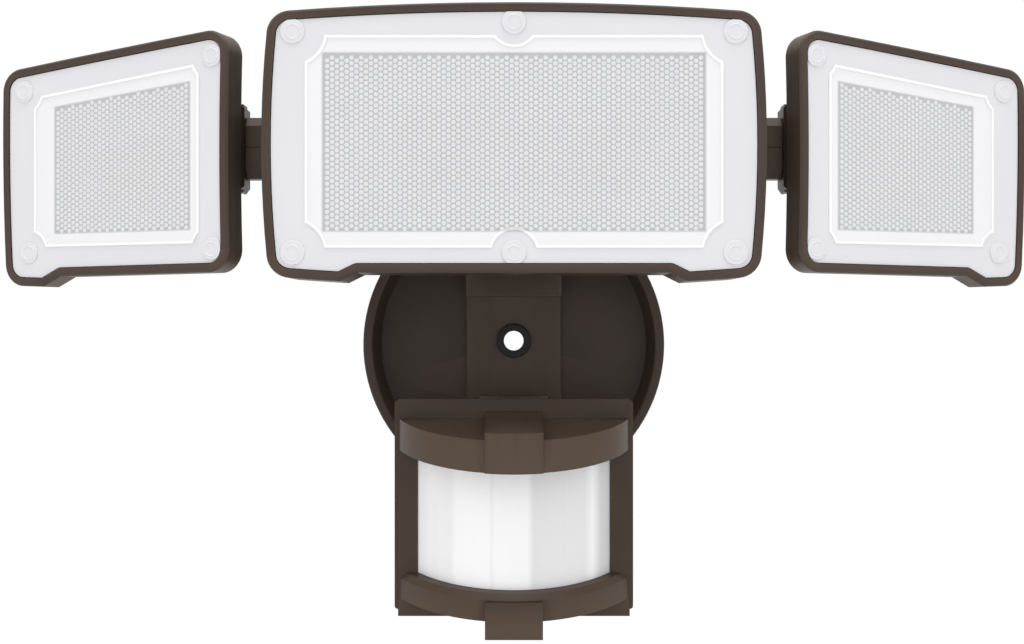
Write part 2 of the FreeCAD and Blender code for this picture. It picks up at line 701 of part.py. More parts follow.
def leds(places, size, board_front):
    half = size / 2
    return [box(x - half, x + half, board_front - LED_HEIGHT, board_front, z - half, z + half)
            for x, z in places]


# ================================================================ centre head
CENTER_CROWN = CENTER_HEIGHT / 2
CENTER_CORNER_HALF_HEIGHT = CENTER_CROWN - CENTER_CORNER_INSET
FOOT_INNER_X = CENTER_HALF_WIDTH - FOOT_WIDTH
HUMP_HALF_WIDTH = CENTER_HALF_WIDTH - HUMP_INSET
CENTER_BOSS_X = CENTER_HALF_WIDTH - CENTER_BOSS_SIDE_INSET
CENTER_BOSS_TOP = CENTER_CROWN - CENTER_BOSS_TOP_INSET
CENTER_BOSS_BOTTOM = CENTER_BOSS_BOTTOM_INSET - CENTER_CROWN
CENTER_RIB_HALF_WIDTH = CENTER_HALF_WIDTH - CENTER_RIB_SIDE_INSET
CENTER_RIB_TOP = CENTER_CROWN - CENTER_RIB_TOP_INSET
CENTER_RIB_BOTTOM = CENTER_RIB_BOTTOM_INSET - CENTER_CROWN


def center_outline():
    """Wide pillow shape: four bowed sides, and a straight recess between two feet."""
    half_x = CENTER_HALF_WIDTH - sag_of(2 * CENTER_CORNER_HALF_HEIGHT, SIDE_ARC_RADIUS)
    top = CENTER_CORNER_HALF_HEIGHT
    foot_z = -CENTER_CROWN + sag_of(2 * FOOT_INNER_X, TOP_ARC_RADIUS)
    recess_z = -CENTER_CROWN + RECESS_RISE
    recess_x = FOOT_INNER_X - FOOT_RAMP
    foot_sag = sag_of(math.hypot(half_x - FOOT_INNER_X, foot_z + top), TOP_ARC_RADIUS)
    side_sag = sag_of(2 * top, SIDE_ARC_RADIUS)
    top_sag = sag_of(2 * half_x, TOP_ARC_RADIUS)
    return [
        (-half_x, -top, foot_sag, CORNER_RADIUS),
        (-FOOT_INNER_X, foot_z, 0, FOOT_ROUND),
        (-recess_x, recess_z, 0, FOOT_ROUND),
        (recess_x, recess_z, 0, FOOT_ROUND),
        (FOOT_INNER_X, foot_z, foot_sag, FOOT_ROUND),
        (half_x, -top, side_sag, CORNER_RADIUS),
        (half_x, top, top_sag, CORNER_RADIUS),
        (-half_x, top, side_sag, CORNER_RADIUS)]


CENTER_BOSSES = (
    (-CENTER_BOSS_X, CENTER_BOSS_TOP), (CENTER_BOSS_X, CENTER_BOSS_TOP),
    (-CENTER_BOSS_X, CENTER_BOSS_BOTTOM), (CENTER_BOSS_X, CENTER_BOSS_BOTTOM),
    (0, CENTER_CROWN - CENTER_BOSS_MID_INSET), (0, CENTER_BOSS_BOTTOM))
CENTER_SCREWED = CENTER_BOSSES[:5]
CENTER_PLACE = Vector(0, CENTER_FRONT_Y, CENTER_Z)
CENTER_HOLLOW_BACK = CENTER_DEPTH - HOUSING_WALL
CENTER_HUMP_BACK = CENTER_DEPTH + HUMP_DEPTH
CENTER_BOARD_BACK = CENTER_BOARD_DEPTH + BOARD_THICKNESS
ARM_ROOT_X = CENTER_HALF_WIDTH + ARM_ROOT_PROUD


def center_rib():
    notches = []
    for x, z in CENTER_BOSSES:
        notches.append((x, z, MID_NOTCH if x == 0 else CORNER_NOTCH))
    half = CENTER_RIB_HALF_WIDTH
    return rib_band([(-half, CENTER_RIB_BOTTOM), (half, CENTER_RIB_BOTTOM),
                     (half, CENTER_RIB_TOP), (-half, CENTER_RIB_TOP)], notches)


def center_housing(corners):
    """Deep cast shell with a spigot for the bezel, a finned back and the tilt lug."""
    body = slab(corners, BEZEL_DEPTH, CENTER_DEPTH)
    body = body.makeChamfer(CENTER_BACK_EASE, flat_edges(body, CENTER_DEPTH))
    spigot = slab(inset(corners, BEZEL_WIDTH + SPIGOT_CLEARANCE), SPIGOT_FRONT, BEZEL_DEPTH + 1)
    hump = box(-HUMP_HALF_WIDTH, HUMP_HALF_WIDTH, CENTER_DEPTH - 1, CENTER_HUMP_BACK,
               -HUMP_HALF_HEIGHT, HUMP_HALF_HEIGHT)
    hump = hump.makeFillet(HUMP_CORNER, edges_along(hump, BACK))
    slots = fin_slots(-HUMP_HALF_WIDTH, HUMP_HALF_WIDTH, -HUMP_HALF_HEIGHT - 1, HUMP_HALF_HEIGHT + 1,
                      CENTER_HUMP_BACK, FIN_SLOT_DEPTH, lambda x: abs(x) > FIN_CLEAR_OF_LUG)
    hump = cut(hump, slots)
    shell = fuse([body, spigot, hump])
    hollow_edge = BEZEL_WIDTH + LENS_GAP + SPIGOT_WIDTH
    hollow = slab(inset(corners, hollow_edge), SPIGOT_FRONT - 1, CENTER_HOLLOW_BACK)
    shell = shell.cut(hollow)

    half_w, half_h = CENTER_BOARD_WIDTH / 2, CENTER_BOARD_HEIGHT / 2
    pedestal = box(-half_w, half_w, CENTER_BOARD_BACK, CENTER_HOLLOW_BACK + 1, -half_h, half_h)
    pieces = [shell, pedestal]
    for x, z in CENTER_BOSSES:
        pieces.append(along_y(POST_RADIUS, x, z, LENS_BACK, CENTER_HOLLOW_BACK + 1))
    pieces += arm_roots()
    shell = fuse(pieces)
    shell.translate(CENTER_PLACE)

    lug = tilt_ball(-LUG_HALF_WIDTH, LUG_HALF_WIDTH)
    hump_y = CENTER_FRONT_Y + CENTER_HUMP_BACK
    neck = box(-LUG_HALF_WIDTH, LUG_HALF_WIDTH, hump_y - HUMP_DEPTH - 1, TILT_Y,
               TILT_Z - NECK_HALF_HEIGHT, TILT_Z + NECK_HALF_HEIGHT)
    shell = fuse([shell, lug, neck])
    holes = [tilt_bore()]
    for x, z in CENTER_SCREWED:
        holes.append(along_y(LENS_SCREW_RADIUS + SEAT, x, z + CENTER_Z,
                             CENTER_FRONT_Y, CENTER_FRONT_Y + CENTER_DEPTH + 1))
    return cut(shell, holes)


def arm_roots():
    """Blocks on the housing's flanks that the side arms are screwed to."""
    blocks = []
    y0 = ARM_AXIS_Y - ARM_FRONT - ROOT_MARGIN - CENTER_FRONT_Y
    y1 = ARM_AXIS_Y + ARM_BACK + ROOT_MARGIN - CENTER_FRONT_Y
    low = ARM_AXIS_Z - ARM_HALF_HEIGHT - ROOT_MARGIN - CENTER_Z
    high = ARM_AXIS_Z + ARM_HALF_HEIGHT + ROOT_MARGIN - CENTER_Z
    for sign in (-1, 1):
        blocks.append(box(sign * (HUMP_HALF_WIDTH - 2), sign * ARM_ROOT_X,
                          max(y0, CENTER_HOLLOW_BACK), y1, low, high))
    return blocks


def fin_slots(x0, x1, z0, z1, back_y, depth, keep):
    """Upright slots that leave cooling fins between them."""
    middle = (x0 + x1) / 2
    count = int((x1 - x0 - FIN_SLOT) / FIN_PITCH / 2)
    slots = []
    for step in range(-count, count + 1):
        x = middle + step * FIN_PITCH
        if keep(x):
            slots.append(box(x - FIN_SLOT / 2, x + FIN_SLOT / 2, back_y - depth, back_y + 1, z0, z1))
    return slots


def center_parts():
    corners = center_outline()
    board_places = led_places(CENTER_LED_COLUMNS, CENTER_LED_ROWS,
                              CENTER_LED_PITCH_X, CENTER_LED_PITCH_Z, 0, 0)
    half_w, half_h = CENTER_BOARD_WIDTH / 2, CENTER_BOARD_HEIGHT / 2
    board = box(-half_w, half_w, CENTER_BOARD_DEPTH, CENTER_BOARD_BACK, -half_h, half_h)
    posts = [along_y(POST_RADIUS + POST_FIT, x, z, 0, CENTER_DEPTH) for x, z in CENTER_BOSSES]
    screws = [screw(LENS_SCREW_RADIUS, SCREW_HEAD_RADIUS, SCREW_HEAD_HEIGHT, Vector(x, CENTER_DEPTH, z),
                    FORWARD, CENTER_DEPTH - LENS_SETBACK - LENS_SCREW_STOP) for x, z in CENTER_SCREWED]
    local = {
        "center_bezel": [bezel(corners)],
        "center_lens": [lens_plate(corners, center_rib(), CENTER_BOSSES, CENTER_BOSS_RADIUS)],
        "center_gasket": [cut(lens_gasket(corners), posts)],
        "center_tray": [cut(tray(corners, CENTER_BOARD_BACK, 0, 0,
                                 CENTER_BOARD_WIDTH, CENTER_BOARD_HEIGHT), posts)],
        "center_led_board": [board],
        "center_leds": leds(board_places, LED_SIZE, CENTER_BOARD_DEPTH),
        "center_screws": screws,
    }
    parts = {}
    for name, shapes in local.items():
        for shape in shapes:
            shape.translate(CENTER_PLACE)
        parts[name] = shapes
    parts["center_housing"] = [center_housing(corners)]
    return parts


# ================================================================ side arm and knuckle (right)
ARM_SCREW_X = ARM_ROOT_X + ARM_SCREW_INSET
COLLAR_X = ARM_ROOT_X + COLLAR_INSET
FLANGE_X = ARM_END_X + FLANGE_GAP


def arm_block():
    body = box(ARM_ROOT_X, ARM_END_X, ARM_AXIS_Y - ARM_FRONT, ARM_AXIS_Y + ARM_BACK,
               ARM_AXIS_Z - ARM_HALF_HEIGHT, ARM_AXIS_Z + ARM_HALF_HEIGHT)
    body = body.makeChamfer(ARM_CHAMFER, edges_along(body, RIGHT))
    bore = along_x(JOURNAL_RADIUS + RUNNING, ARM_AXIS_Y, ARM_AXIS_Z, COLLAR_X, ARM_END_X + 1)
    groove = along_x(COLLAR_RADIUS + COLLAR_PLAY, ARM_AXIS_Y, ARM_AXIS_Z,
                     COLLAR_X - COLLAR_PLAY, COLLAR_X + COLLAR_WIDTH + COLLAR_PLAY)
    return cut(body, [bore, groove])


def arm_half(upper):
    """Half of the clamp that holds the knuckle's journal."""
    reach = ARM_HALF_HEIGHT + 5
    seam = ARM_AXIS_Z + (ARM_SEAM / 2 if upper else -ARM_SEAM / 2)
    end = ARM_AXIS_Z + (reach if upper else -reach)
    half = arm_block().common(box(ARM_ROOT_X - 1, ARM_END_X + 1,
                                  ARM_AXIS_Y - reach, ARM_AXIS_Y + reach, seam, end))
    low = ARM_AXIS_Z - ARM_HALF_HEIGHT
    shank = along_z(ARM_SCREW_RADIUS + SEAT, ARM_SCREW_X, ARM_AXIS_Y,
                    low - 1, ARM_AXIS_Z + ARM_HALF_HEIGHT - ARM_HOLE_COVER)
    return half.cut(shank)


def arm_screw():
    low = ARM_AXIS_Z - ARM_HALF_HEIGHT
    return screw(ARM_SCREW_RADIUS, ARM_SCREW_HEAD_RADIUS, ARM_SCREW_HEAD_HEIGHT,
                 Vector(ARM_SCREW_X, ARM_AXIS_Y, low), UP, 2 * ARM_HALF_HEIGHT - ARM_SCREW_COVER)


def side_knuckle():
    """Flange that turns on a journal in the arm and carries the upright barrel."""
    flange = box(FLANGE_X, FLANGE_X + FLANGE_THICKNESS, ARM_AXIS_Y - FLANGE_FRONT, ARM_AXIS_Y + FLANGE_BACK,
                 ARM_AXIS_Z - FLANGE_HALF_HEIGHT, ARM_AXIS_Z + FLANGE_HALF_HEIGHT)
    inner = [e for e in flange.Edges if abs(e.CenterOfMass.x - FLANGE_X) < 1e-3]
    flange = flange.makeChamfer(FLANGE_CHAMFER, inner)
    journal = along_x(JOURNAL_RADIUS, ARM_AXIS_Y, ARM_AXIS_Z, COLLAR_X, FLANGE_X + 1)
    collar = along_x(COLLAR_RADIUS, ARM_AXIS_Y, ARM_AXIS_Z, COLLAR_X, COLLAR_X + COLLAR_WIDTH)
    neck = box(FLANGE_X + 1, SWIVEL_X, ARM_AXIS_Y - KNUCKLE_NECK_HALF, ARM_AXIS_Y + KNUCKLE_NECK_HALF,
               ARM_AXIS_Z - FLANGE_HALF_HEIGHT, ARM_AXIS_Z + FLANGE_HALF_HEIGHT)
    barrel = along_z(BARREL_RADIUS, SWIVEL_X, ARM_AXIS_Y,
                     ARM_AXIS_Z - FLANGE_HALF_HEIGHT, ARM_AXIS_Z + FLANGE_HALF_HEIGHT)
    bore = along_z(SWIVEL_PIN_RADIUS + RUNNING, SWIVEL_X, ARM_AXIS_Y,
                   ARM_AXIS_Z - FLANGE_HALF_HEIGHT - 1, ARM_AXIS_Z + FLANGE_HALF_HEIGHT + 1)
    return fuse([flange, journal, collar, neck, barrel]).cut(bore)


def swivel_pin():
    low = ARM_AXIS_Z - SWIVEL_PIN_DROP
    shank = along_z(SWIVEL_PIN_RADIUS, SWIVEL_X, ARM_AXIS_Y, low, SIDE_HUMP_TOP)
    head = along_z(SWIVEL_PIN_HEAD_RADIUS, SWIVEL_X, ARM_AXIS_Y,
                   SIDE_HUMP_TOP, SIDE_HUMP_TOP + SWIVEL_PIN_HEAD)
    rim = [e for e in head.Edges if abs(e.CenterOfMass.z - SIDE_HUMP_TOP - SWIVEL_PIN_HEAD) < 1e-3]
    return fuse([shank, head.makeFillet(SWIVEL_PIN_HEAD * 0.4, rim)])


# ================================================================ side head (right)
def place_side(shape):
    """From the head's own frame (inner front edge, x outward, y back) to its rest pose."""
    placed = shape.copy()
    placed.rotate(Vector(0, 0, 0), UP, SIDE_YAW)
    placed.translate(Vector(SIDE_FRONT_X, SIDE_FRONT_Y, 0))
    return placed


def side_local(x, y):
    """A point of the whole light in the side head's own frame."""
    yaw = math.radians(SIDE_YAW)
    dx, dy = x - SIDE_FRONT_X, y - SIDE_FRONT_Y
    return dx * math.cos(yaw) + dy * math.sin(yaw), -dx * math.sin(yaw) + dy * math.cos(yaw)


SIDE_FOOT_X = SIDE_WIDTH - SIDE_FOOT_WIDTH
SIDE_RECESS_X = SIDE_FOOT_X - SIDE_FOOT_RAMP
SIDE_HUMP_OUTER = SIDE_WIDTH - SIDE_HUMP_INSET
SIDE_RIB_OUTER = SIDE_WIDTH - SIDE_RIB_OUTER_INSET
SIDE_BOSSES = (
    (SIDE_WIDTH - SIDE_BOSS_OUTER_INSET, SIDE_OUTER_TOP - SIDE_BOSS_OUTER_DROP),
    (SIDE_BOSS_INNER, SIDE_INNER_TOP - SIDE_BOSS_INNER_DROP),
    (SIDE_WIDTH - SIDE_BOSS_FOOT_INSET, SIDE_BOSS_BOTTOM),
    (SIDE_BOSS_INNER, SIDE_BOSS_BOTTOM))


def side_outline():
    """Tapered pillow with a foot at its outer bottom corner."""
    return [
        (0, SIDE_INNER_BOTTOM, 0, CORNER_RADIUS),
        (SIDE_RECESS_X, SIDE_RECESS_END, 0, FOOT_ROUND),
        (SIDE_FOOT_X, SIDE_FOOT_BOTTOM, 0, FOOT_ROUND),
        (SIDE_WIDTH - SIDE_TOE, SIDE_OUTER_BOTTOM, SIDE_OUTER_SAG, CORNER_RADIUS),
        (SIDE_WIDTH, SIDE_OUTER_TOP, SIDE_TOP_SAG, CORNER_RADIUS),
        (0, SIDE_INNER_TOP, SIDE_INNER_SAG, CORNER_RADIUS)]


SIDE_HOLLOW_BACK = SIDE_SLAB_DEPTH - SIDE_FLOOR
SIDE_BOARD_DEPTH = SIDE_HOLLOW_BACK - BOARD_THICKNESS
SIDE_REAR_WALL_Y = SIDE_HUMP_BACK - SIDE_FIN_SLOT_DEPTH - HOUSING_WALL


def side_rib():
    notches = [(x, z, SIDE_NOTCH) for x, z in SIDE_BOSSES]
    return rib_band([(SIDE_RIB_INNER, SIDE_RIB_BOTTOM), (SIDE_RIB_OUTER, SIDE_RIB_BOTTOM),
                     (SIDE_RIB_OUTER, SIDE_OUTER_TOP - SIDE_RIB_OUTER_DROP),
                     (SIDE_RIB_INNER, SIDE_INNER_TOP - SIDE_RIB_INNER_DROP)], notches)


def side_housing(corners):
    """Shallow shell with a finned hump behind it and a pocket for the knuckle."""
    body = slab(corners, BEZEL_DEPTH, SIDE_SLAB_DEPTH)
    spigot = slab(inset(corners, BEZEL_WIDTH + SPIGOT_CLEARANCE), SPIGOT_FRONT, BEZEL_DEPTH + 1)
    hump = box(SIDE_HUMP_INNER, SIDE_HUMP_OUTER, SIDE_SLAB_DEPTH - 1, SIDE_HUMP_BACK,
               SIDE_HUMP_BOTTOM, SIDE_HUMP_TOP)
    hump = hump.makeFillet(SIDE_HUMP_CORNER, edges_along(hump, BACK, lambda p: p.x > SIDE_HUMP_INNER + 1))
    slots = fin_slots(SIDE_HOLLOW_INNER, SIDE_HUMP_OUTER, SIDE_HUMP_BOTTOM - 1, SIDE_HUMP_TOP + 1,
                      SIDE_HUMP_BACK, SIDE_FIN_SLOT_DEPTH, lambda x: True)
    hump = cut(hump, slots)
    shell = fuse([body, spigot, hump])
    hollow_edge = BEZEL_WIDTH + LENS_GAP + SPIGOT_WIDTH
    front_hollow = slab(inset(corners, hollow_edge), SPIGOT_FRONT - 1, SIDE_HOLLOW_BACK)
    rear_hollow = box(SIDE_HOLLOW_INNER, SIDE_HUMP_OUTER - SIDE_HOLLOW_OUTER_WALL, SIDE_HOLLOW_BACK - 1,
                      SIDE_REAR_WALL_Y,
                      SIDE_HUMP_BOTTOM + SIDE_HOLLOW_END_WALL, SIDE_HUMP_TOP - SIDE_HOLLOW_END_WALL)
    shell = cut(shell, [front_hollow, rear_hollow])
    half_w, half_h = SIDE_BOARD_WIDTH / 2, SIDE_BOARD_HEIGHT / 2
    pedestal = box(SIDE_BOARD_X - half_w, SIDE_BOARD_X + half_w, SIDE_HOLLOW_BACK,
                   SIDE_REAR_WALL_Y + SIDE_PEDESTAL_BITE, SIDE_BOARD_Z - half_h, SIDE_BOARD_Z + half_h)
    pieces = [shell, pedestal]
    for x, z in SIDE_BOSSES:
        pieces.append(along_y(POST_RADIUS, x, z, LENS_BACK, SIDE_HOLLOW_BACK + 1))
    shell = fuse(pieces)

    pin_x, pin_y = side_local(SWIVEL_X, ARM_AXIS_Y)
    pocket_half = FLANGE_HALF_HEIGHT + POCKET_PLAY
    pocket = box(SIDE_HUMP_INNER - 30, pin_x + BARREL_RADIUS + 3, SIDE_SLAB_DEPTH, SIDE_HUMP_BACK + 10,
                 ARM_AXIS_Z - pocket_half, ARM_AXIS_Z + pocket_half)
    pin_hole = along_z(SWIVEL_PIN_RADIUS + SEAT, pin_x, pin_y,
                       ARM_AXIS_Z - SWIVEL_PIN_DROP - HOLE_SPARE, SIDE_HUMP_TOP + 1)
    holes = [pocket, pin_hole]
    for x, z in SIDE_BOSSES:
        holes.append(along_y(LENS_SCREW_RADIUS + SEAT, x, z, 0, SIDE_SLAB_DEPTH + 1))
    return cut(shell, holes)


def side_parts():
    """Every piece of the right head, placed at rest."""
    corners = side_outline()
    places = led_places(SIDE_LED_COLUMNS, SIDE_LED_ROWS, SIDE_LED_PITCH_X, SIDE_LED_PITCH_Z,
                        SIDE_BOARD_X, SIDE_BOARD_Z)
    half_w, half_h = SIDE_BOARD_WIDTH / 2, SIDE_BOARD_HEIGHT / 2
    board = box(SIDE_BOARD_X - half_w, SIDE_BOARD_X + half_w, SIDE_BOARD_DEPTH, SIDE_HOLLOW_BACK,
                SIDE_BOARD_Z - half_h, SIDE_BOARD_Z + half_h)
    posts = [along_y(POST_RADIUS + POST_FIT, x, z, 0, SIDE_SLAB_DEPTH) for x, z in SIDE_BOSSES]
    screws = [screw(LENS_SCREW_RADIUS, SCREW_HEAD_RADIUS, SCREW_HEAD_HEIGHT, Vector(x, SIDE_SLAB_DEPTH, z),
                    FORWARD, SIDE_SLAB_DEPTH - LENS_SETBACK - LENS_SCREW_STOP) for x, z in SIDE_BOSSES]
    local = {
        "housing": [side_housing(corners)],
        "bezel": [bezel(corners)],
        "lens": [lens_plate(corners, side_rib(), SIDE_BOSSES, SIDE_BOSS_RADIUS)],
        "gasket": [cut(lens_gasket(corners), posts)],
        "tray": [cut(tray(corners, SIDE_HOLLOW_BACK, SIDE_BOARD_X, SIDE_BOARD_Z,
                          SIDE_BOARD_WIDTH, SIDE_BOARD_HEIGHT), posts)],
        "led_board": [board],
        "leds": leds(places, SIDE_LED_SIZE, SIDE_BOARD_DEPTH),
        "screws": screws,
    }
    parts = {name: [place_side(shape) for shape in shapes] for name, shapes in local.items()}
    parts["knuckle"] = [side_knuckle()]
    parts["arm_upper"] = [arm_half(True)]
    parts["arm_lower"] = [arm_half(False)]
    parts["swivel_pin"] = [swivel_pin()]
    return parts


# ================================================================ sensor
def sensor_z(level, reach):
    """Height of a sloped surface at a distance in front of the sensor plane."""
    return level - SENSOR_SLOPE * reach


def bow_face(half_width, reach, z):
    """D-shaped face: straight along the sensor plane, one arc in front."""
    side_reach = min(SENSOR_FRAME_DEPTH, reach) - 1
    y_side = SENSOR_PLANE_Y - side_reach
    left, right = Vector(-half_width, y_side, z), Vector(half_width, y_side, z)
    back_left, back_right = Vector(-half_width, SENSOR_PLANE_Y, z), Vector(half_width, SENSOR_PLANE_Y, z)
    crown = Vector(0, SENSOR_PLANE_Y - reach, z)
    edges = [Part.LineSegment(back_left, left).toShape(), Part.Arc(left, crown, right).toShape(),
             Part.LineSegment(right, back_right).toShape(), Part.LineSegment(back_right, back_left).toShape()]
    return Part.Face(Part.Wire(edges))


def bow_prism(half_width, reach):
    """The D-shaped face made into a column taller than the sensor."""
    height = 2 * (SENSOR_TOP - SENSOR_BOTTOM)
    middle = (SENSOR_TOP + SENSOR_BOTTOM) / 2
    return bow_face(half_width, reach, middle - height / 2).extrude(Vector(0, 0, height))


def sloped(top, bottom):
    """Slab between two surfaces that fall forward alike, wider and deeper than the sensor."""
    reach, half_width = 1.2 * CAP_REACH, 1.2 * SENSOR_HALF_WIDTH
    y0, y1 = SENSOR_PLANE_Y, SENSOR_PLANE_Y - reach
    points = [Vector(-half_width, y0, top), Vector(-half_width, y1, sensor_z(top, reach)),
              Vector(-half_width, y1, sensor_z(bottom, reach)), Vector(-half_width, y0, bottom)]
    return Part.Face(Part.makePolygon(points + points[:1])).extrude(Vector(2 * half_width, 0, 0))


def sensor_front():
    """Front cover: frame, hooded roof with its centre strap, columns, lower ring and tab."""
    front_y = SENSOR_PLANE_Y - SENSOR_FRAME_DEPTH
    half = SENSOR_HALF_WIDTH
    frame = box(-half, half, SENSOR_PLANE_Y, front_y, SENSOR_BOTTOM, SENSOR_TOP)
    window = box(-LENS_HALF_WIDTH, LENS_HALF_WIDTH, SENSOR_PLANE_Y + 1, front_y - 1,
                 RING_BOTTOM_Z + SENSOR_SHELL, ROOF_Z - SENSOR_SHELL)
    frame = frame.cut(window)

    outer_cap = bow_prism(half, CAP_REACH)
    inner_cap = bow_prism(half - SENSOR_SHELL, CAP_REACH - SENSOR_SHELL)
    cap = outer_cap.common(sloped(ROOF_Z, SOFFIT_Z))
    cap = cap.cut(inner_cap.common(sloped(ROOF_Z - SENSOR_SHELL, SOFFIT_Z + SENSOR_SHELL)))

    outer_ring = bow_prism(half, RING_REACH)
    band = outer_ring.common(sloped(RING_TOP_Z, RING_BOTTOM_Z))
    middle = (RING_TOP_Z + RING_BOTTOM_Z) / 2
    top_edge = [e for e in band.Edges if e.CenterOfMass.y < front_y
                and e.BoundBox.ZMax > middle and e.BoundBox.XLength > half]
    band = band.makeChamfer(RING_CHAMFER, top_edge)

    lens_room = bow_prism(LENS_HALF_WIDTH + SENSOR_LENS_FIT, LENS_REACH + SENSOR_LENS_FIT)
    lens_room = lens_room.common(sloped(SOFFIT_Z + SENSOR_SHELL + 1, RING_BOTTOM_Z + SENSOR_SHELL))
    cover = fuse([frame, cap, band, sensor_strap(), sensor_tab()])
    holes = [lens_room, sensor_window_cleanup(front_y)] + control_holes() + sensor_screw_holes()
    return cut(cover, holes)


def sensor_window_cleanup(front_y):
    """Space behind the roof and the lens inside the frame."""
    half = LENS_HALF_WIDTH + SENSOR_LENS_FIT
    return box(-half, half, SENSOR_PLANE_Y + 1, front_y + 0.5,
               RING_BOTTOM_Z + SENSOR_SHELL, ROOF_Z - SENSOR_SHELL - 1)


def sensor_strap():
    """Band over the roof's middle and down its front, a little proud."""
    reach = CAP_REACH + STRAP_PROUD
    crown = bow_prism(SENSOR_HALF_WIDTH, reach)
    shell = crown.common(sloped(ROOF_Z + 4 * STRAP_PROUD, SOFFIT_Z))
    shell = shell.common(box(-STRAP_HALF_WIDTH, STRAP_HALF_WIDTH, SENSOR_PLANE_Y, SENSOR_PLANE_Y - reach - 1,
                             SENSOR_TOP, SOFFIT_Z - reach))
    hollow = bow_prism(SENSOR_HALF_WIDTH - 1, CAP_REACH - 1).common(sloped(ROOF_Z - 1, SOFFIT_Z - 5))
    return shell.cut(hollow)


def sensor_tab():
    """Plate that hangs from the ring's middle."""
    y0 = SENSOR_PLANE_Y - RING_REACH - STRAP_PROUD
    return box(-STRAP_HALF_WIDTH, STRAP_HALF_WIDTH, y0, y0 + TAB_THICKNESS,
               sensor_z(RING_TOP_Z, RING_REACH) - RING_CHAMFER - TAB_START, TAB_BOTTOM)


def control_places():
    return (-KNOB_X, KNOB_X)


CONTROL_Y = SENSOR_PLANE_Y - CONTROL_REACH
CONTROL_FLOOR = sensor_z(RING_BOTTOM_Z, CONTROL_REACH)


def control_holes():
    """Two round holes for the knobs and a slot for the mode switch, in the ring's floor."""
    low, high = CONTROL_FLOOR - CONTROL_HOLE_REACH, CONTROL_FLOOR + CONTROL_HOLE_REACH
    holes = [along_z(KNOB_RADIUS + KNOB_HOLE_PLAY, x, CONTROL_Y, low, high) for x in control_places()]
    length = SLIDER_HALF_LENGTH + SLIDER_TRAVEL + KNOB_HOLE_PLAY
    width = SLIDER_HALF_WIDTH + KNOB_HOLE_PLAY
    holes.append(box(-length, length, CONTROL_Y - width, CONTROL_Y + width, low, high))
    return holes


def sensor_screw_places():
    levels = (SENSOR_SCREW_TOP, SENSOR_SCREW_BOTTOM)
    return [(sign * SENSOR_SCREW_X, z) for sign in (-1, 1) for z in levels]


def sensor_screw_holes():
    end_y = SENSOR_PLANE_Y - SENSOR_SCREW_BITE - HOLE_SPARE
    return [along_y(SENSOR_SCREW_RADIUS + SEAT, x, z, COVER_BACK_Y + 1, end_y)
            for x, z in sensor_screw_places()]


COVER_FRONT_Y = SENSOR_PLANE_Y + SENSOR_GASKET
COVER_BACK_Y = COVER_FRONT_Y + COVER_THICKNESS
PCB_BACK_Y = SENSOR_PLANE_Y - PCB_STANDOFF
PCB_FRONT_Y = PCB_BACK_Y - BOARD_THICKNESS


def sensor_back():
    """Flat rear cover with two ears for the tilt pin and posts for the board."""
    plate = box(-COVER_HALF_WIDTH, COVER_HALF_WIDTH, COVER_FRONT_Y, COVER_BACK_Y, COVER_BOTTOM, COVER_TOP)
    plate = plate.makeFillet(COVER_CORNER, edges_along(plate, BACK))
    pieces = [plate]
    inner = SENSOR_LUG_HALF + SIDE_PLAY
    for sign in (-1, 1):
        x0, x1 = sign * inner, sign * (inner + SENSOR_EAR_WIDTH)
        pieces.append(along_x(SENSOR_LUG_RADIUS, SENSOR_TILT_Y, SENSOR_TILT_Z, x0, x1))
        pieces.append(box(x0, x1, COVER_BACK_Y - 1, SENSOR_TILT_Y,
                          SENSOR_TILT_Z - SENSOR_LUG_RADIUS, SENSOR_TILT_Z + SENSOR_LUG_RADIUS))
    for x in (PCB_POST_INSET - PCB_HALF_WIDTH, PCB_HALF_WIDTH - PCB_POST_INSET):
        for z in (PCB_TOP - PCB_POST_INSET, PCB_BOTTOM + PCB_POST_INSET):
            pieces.append(along_y(PCB_POST_RADIUS, x, z, COVER_FRONT_Y + 0.5, PCB_BACK_Y))
    reach = inner + SENSOR_EAR_WIDTH + 1
    bore = along_x(SENSOR_PIN_RADIUS + SEAT, SENSOR_TILT_Y, SENSOR_TILT_Z, -reach, reach)
    return cut(fuse(pieces), [bore] + sensor_screw_holes())


def sensor_gasket():
    half = SENSOR_HALF_WIDTH - SENSOR_GASKET_INSET
    low, high = COVER_BOTTOM + SENSOR_GASKET_END_INSET, COVER_TOP - SENSOR_GASKET_END_INSET
    outer = box(-half, half, SENSOR_PLANE_Y, COVER_FRONT_Y, low, high)
    inner_half = half - SENSOR_GASKET_SIDE_WIDTH
    inner = box(-inner_half, inner_half, SENSOR_PLANE_Y - 1, COVER_FRONT_Y + 1,
                low + SENSOR_GASKET_WIDTH, high - SENSOR_GASKET_WIDTH)
    return cut(outer, [inner] + sensor_screw_holes())


def sensor_lens():
    """Bowed lens sheet that rises into the hood and stands on the ring's floor."""
    outer = bow_prism(LENS_HALF_WIDTH, LENS_REACH)
    inner = bow_prism(LENS_HALF_WIDTH - SENSOR_LENS_THICKNESS, LENS_REACH - SENSOR_LENS_THICKNESS)
    sheet = outer.cut(inner)
    sheet = sheet.common(sloped(SENSOR_LENS_TOP, RING_BOTTOM_Z + SENSOR_SHELL))
    return sheet.cut(box(-2 * LENS_HALF_WIDTH, 2 * LENS_HALF_WIDTH, SENSOR_PLANE_Y + 1,
                         SENSOR_PLANE_Y - LENS_BACK_GAP, 2 * SENSOR_BOTTOM, 0))


